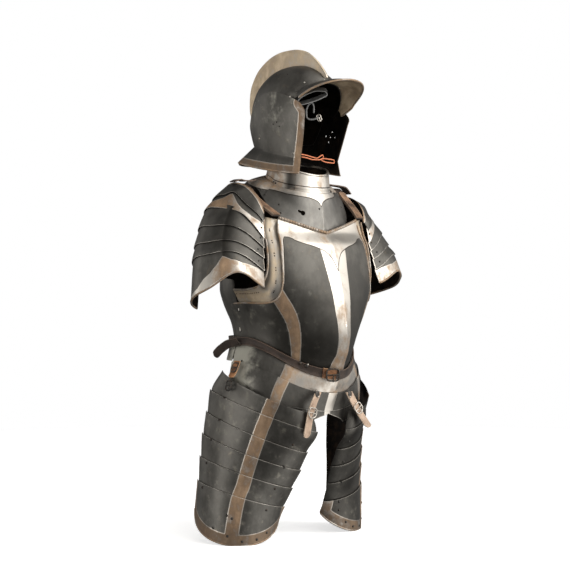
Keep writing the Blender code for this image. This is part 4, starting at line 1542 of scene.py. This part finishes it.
def riveted(name, places, radius=2.4, height=1.7, paint=IRON, slot="black_iron"):
    """Domes as one piece. Each place is a plate, and spots that its rivets are nearest to."""
    bpy.ops.mesh.primitive_uv_sphere_add(segments=12, ring_count=8, radius=1)
    head = bpy.context.active_object
    in_edit(head, cut_flat)
    head.data.transform(Matrix.Diagonal((radius * MM, radius * MM, height * MM, 1)))
    heads = []
    for plate, spots in places:
        made, inside = plates[plate]
        skin = BVHTree.FromPolygons([v.co[:] for v in made.data.vertices],
                                    [p.vertices[:] for p in made.data.polygons])
        for spot in np.atleast_2d(np.array(spots, float)):
            push = (spot - inside) / np.linalg.norm(spot - inside)
            found, normal, _, _ = skin.find_nearest(Vector((spot + push * ABOVE_PLATE) * MM))
            copy = bpy.data.objects.new(name, head.data.copy())
            scene.collection.objects.link(copy)
            turn = normal.to_track_quat("Z", "Y").to_matrix().to_4x4()
            turn.translation = found
            copy.data.transform(turn)
            heads.append(copy)
    bpy.data.objects.remove(head)
    bpy.ops.object.select_all(action="DESELECT")
    for copy in heads:
        copy.select_set(True)
    bpy.context.view_layer.objects.active = heads[0]
    bpy.ops.object.join()
    marked(heads[0], brown=0.2)
    plates[name] = (heads[0], np.zeros(3))
    return dress(heads[0], paint, slot)


def bright_studs(name, places, radius=2.0, height=1.5):
    return riveted(name, places, radius, height, GREY_STEEL, "bright_steel")


riveted("skull_rivets", [("burgonet_skull_steel", ((-57, 11, 266), (57, 11, 266),
                                                   (-57, -26, 263), (57, -26, 263)))], 1.7, 1.2)
bright_studs("cheek_studs", [
    (f"cheek_{name}_steel", ((87 * side, 36, 117), (70 * side, -58, 81), (84 * side, -64, 204)))
    for side, name in SIDES], 2.4, 1.8)
bright_studs("peak_studs", [
    ("burgonet_peak_steel", ((-54, -87, 234), (54, -87, 234), (-41, -134, 241)))])
riveted("gorget_rivets", [
    ("gorget_front_steel", ((-112, -21, -12), (-94, -46, -33), (-97, -56, -51), (-8, -81, -42),
                            (112, -21, -12), (94, -46, -33))),
    ("collar_back_steel", ((-77, -3, 16), (-76, -9, 13), (77, -3, 16))),
])
# line and angle of each rivet on the lames; those at the front of a tasset differ by side
TASSET_RIVETS = ((1.06, 134), (2.06, 134), (3.04, 139), (4.07, 142), (5.05, 145), (5.42, 101),
                 (5.45, 94), (5.72, 119), (5.78, 98), (5.85, 78), (5.83, 58), (5.72, 43))
FRONT_RIVETS = {
    "right": ((1.9, 48), (3.0, 48), (4.15, 48), (5.1, 50)),
    "left": ((1.77, 24), (2.9, 26), (4.0, 28), (5.02, 29), (5.35, 30)),
}
PAULDRON_RIVETS = ((1.68, 10), (2.38, 10), (3.55, 13), (4.45, 12), (2.4, 156), (3.5, 156),
                   (4.5, 156))
# how far down a gusset its rivets are: in pairs along its middle, then in a row near its edge
PAIRS = np.array([share + step for share in (0.10, 0.19, 0.28, 0.37, 0.46, 0.55)
                  for step in (-0.008, 0.008)])
ROW = np.linspace(0.70, 0.985, 12)
SIDE_HOOKS = ((164, 19, -273), (146, 36, -321))
HALF_HOOK = 8


def on_lames(kind, name, at, spots):
    """A place on its own lame for every rivet."""
    return [(f"{kind}_{name}_lame_{int(line) + 1}", at([angle], [line])) for line, angle in spots]


for side, name in SIDES:
    shape = gusset_shape(side)
    riveted(f"gusset_rivets_{name}", [(f"gusset_{name}_steel", shape(0 * PAIRS + 0.45, PAIRS))],
            1.6, 1.4)
    riveted(f"gusset_row_{name}", [(f"gusset_{name}_steel", shape(0 * ROW + 0.80, ROW))],
            1.3, 1.0)
    riveted(f"tasset_rivets_{name}",
            on_lames("tasset", name, tasset_at(side), TASSET_RIVETS + FRONT_RIVETS[name]),
            3.1, 2.3)
    riveted(f"pauldron_rivets_{name}",
            on_lames("pauldron", name, pauldron_at(side), PAULDRON_RIVETS))
    for n, (x, y, level) in enumerate(SIDE_HOOKS, 1):
        ends = [(x * side, y, level + HALF_HOOK), (x * side, y, level - HALF_HOOK)]
        hook, _ = rod(f"side_hook_{name}_{n}", ends, 1.8, 24)
        marked(hook, brown=0.1)
        dress(hook, GREY_STEEL, "bright_steel")
    riveted(f"side_rivets_{name}", [
        ("backplate_steel", ((159 * side, 14, -284), (147 * side, 23, -316))),
        ("fauld_1_steel", ((157 * side, 13, -388),))])
    top = np.array(INNER_STRAPS[name][0])
    riveted(f"strap_washer_{name}", [(f"inner_strap_{name}_leather", (top + (0, -3, -5),))],
            7.5, 1.6)
    bright_studs(f"strap_stud_{name}", [(f"strap_washer_{name}", (top + (0, -8, -5),))], 3.0, 2.2)

riveted("belt_studs", [("belt_leather", ((-84, -99, -399), (-72, -107, -405)))], 4.4, 3.4)
bright_studs("belt_pin", [("belt_leather", ((-66, -109, -393),))], 2.4, 2.6)
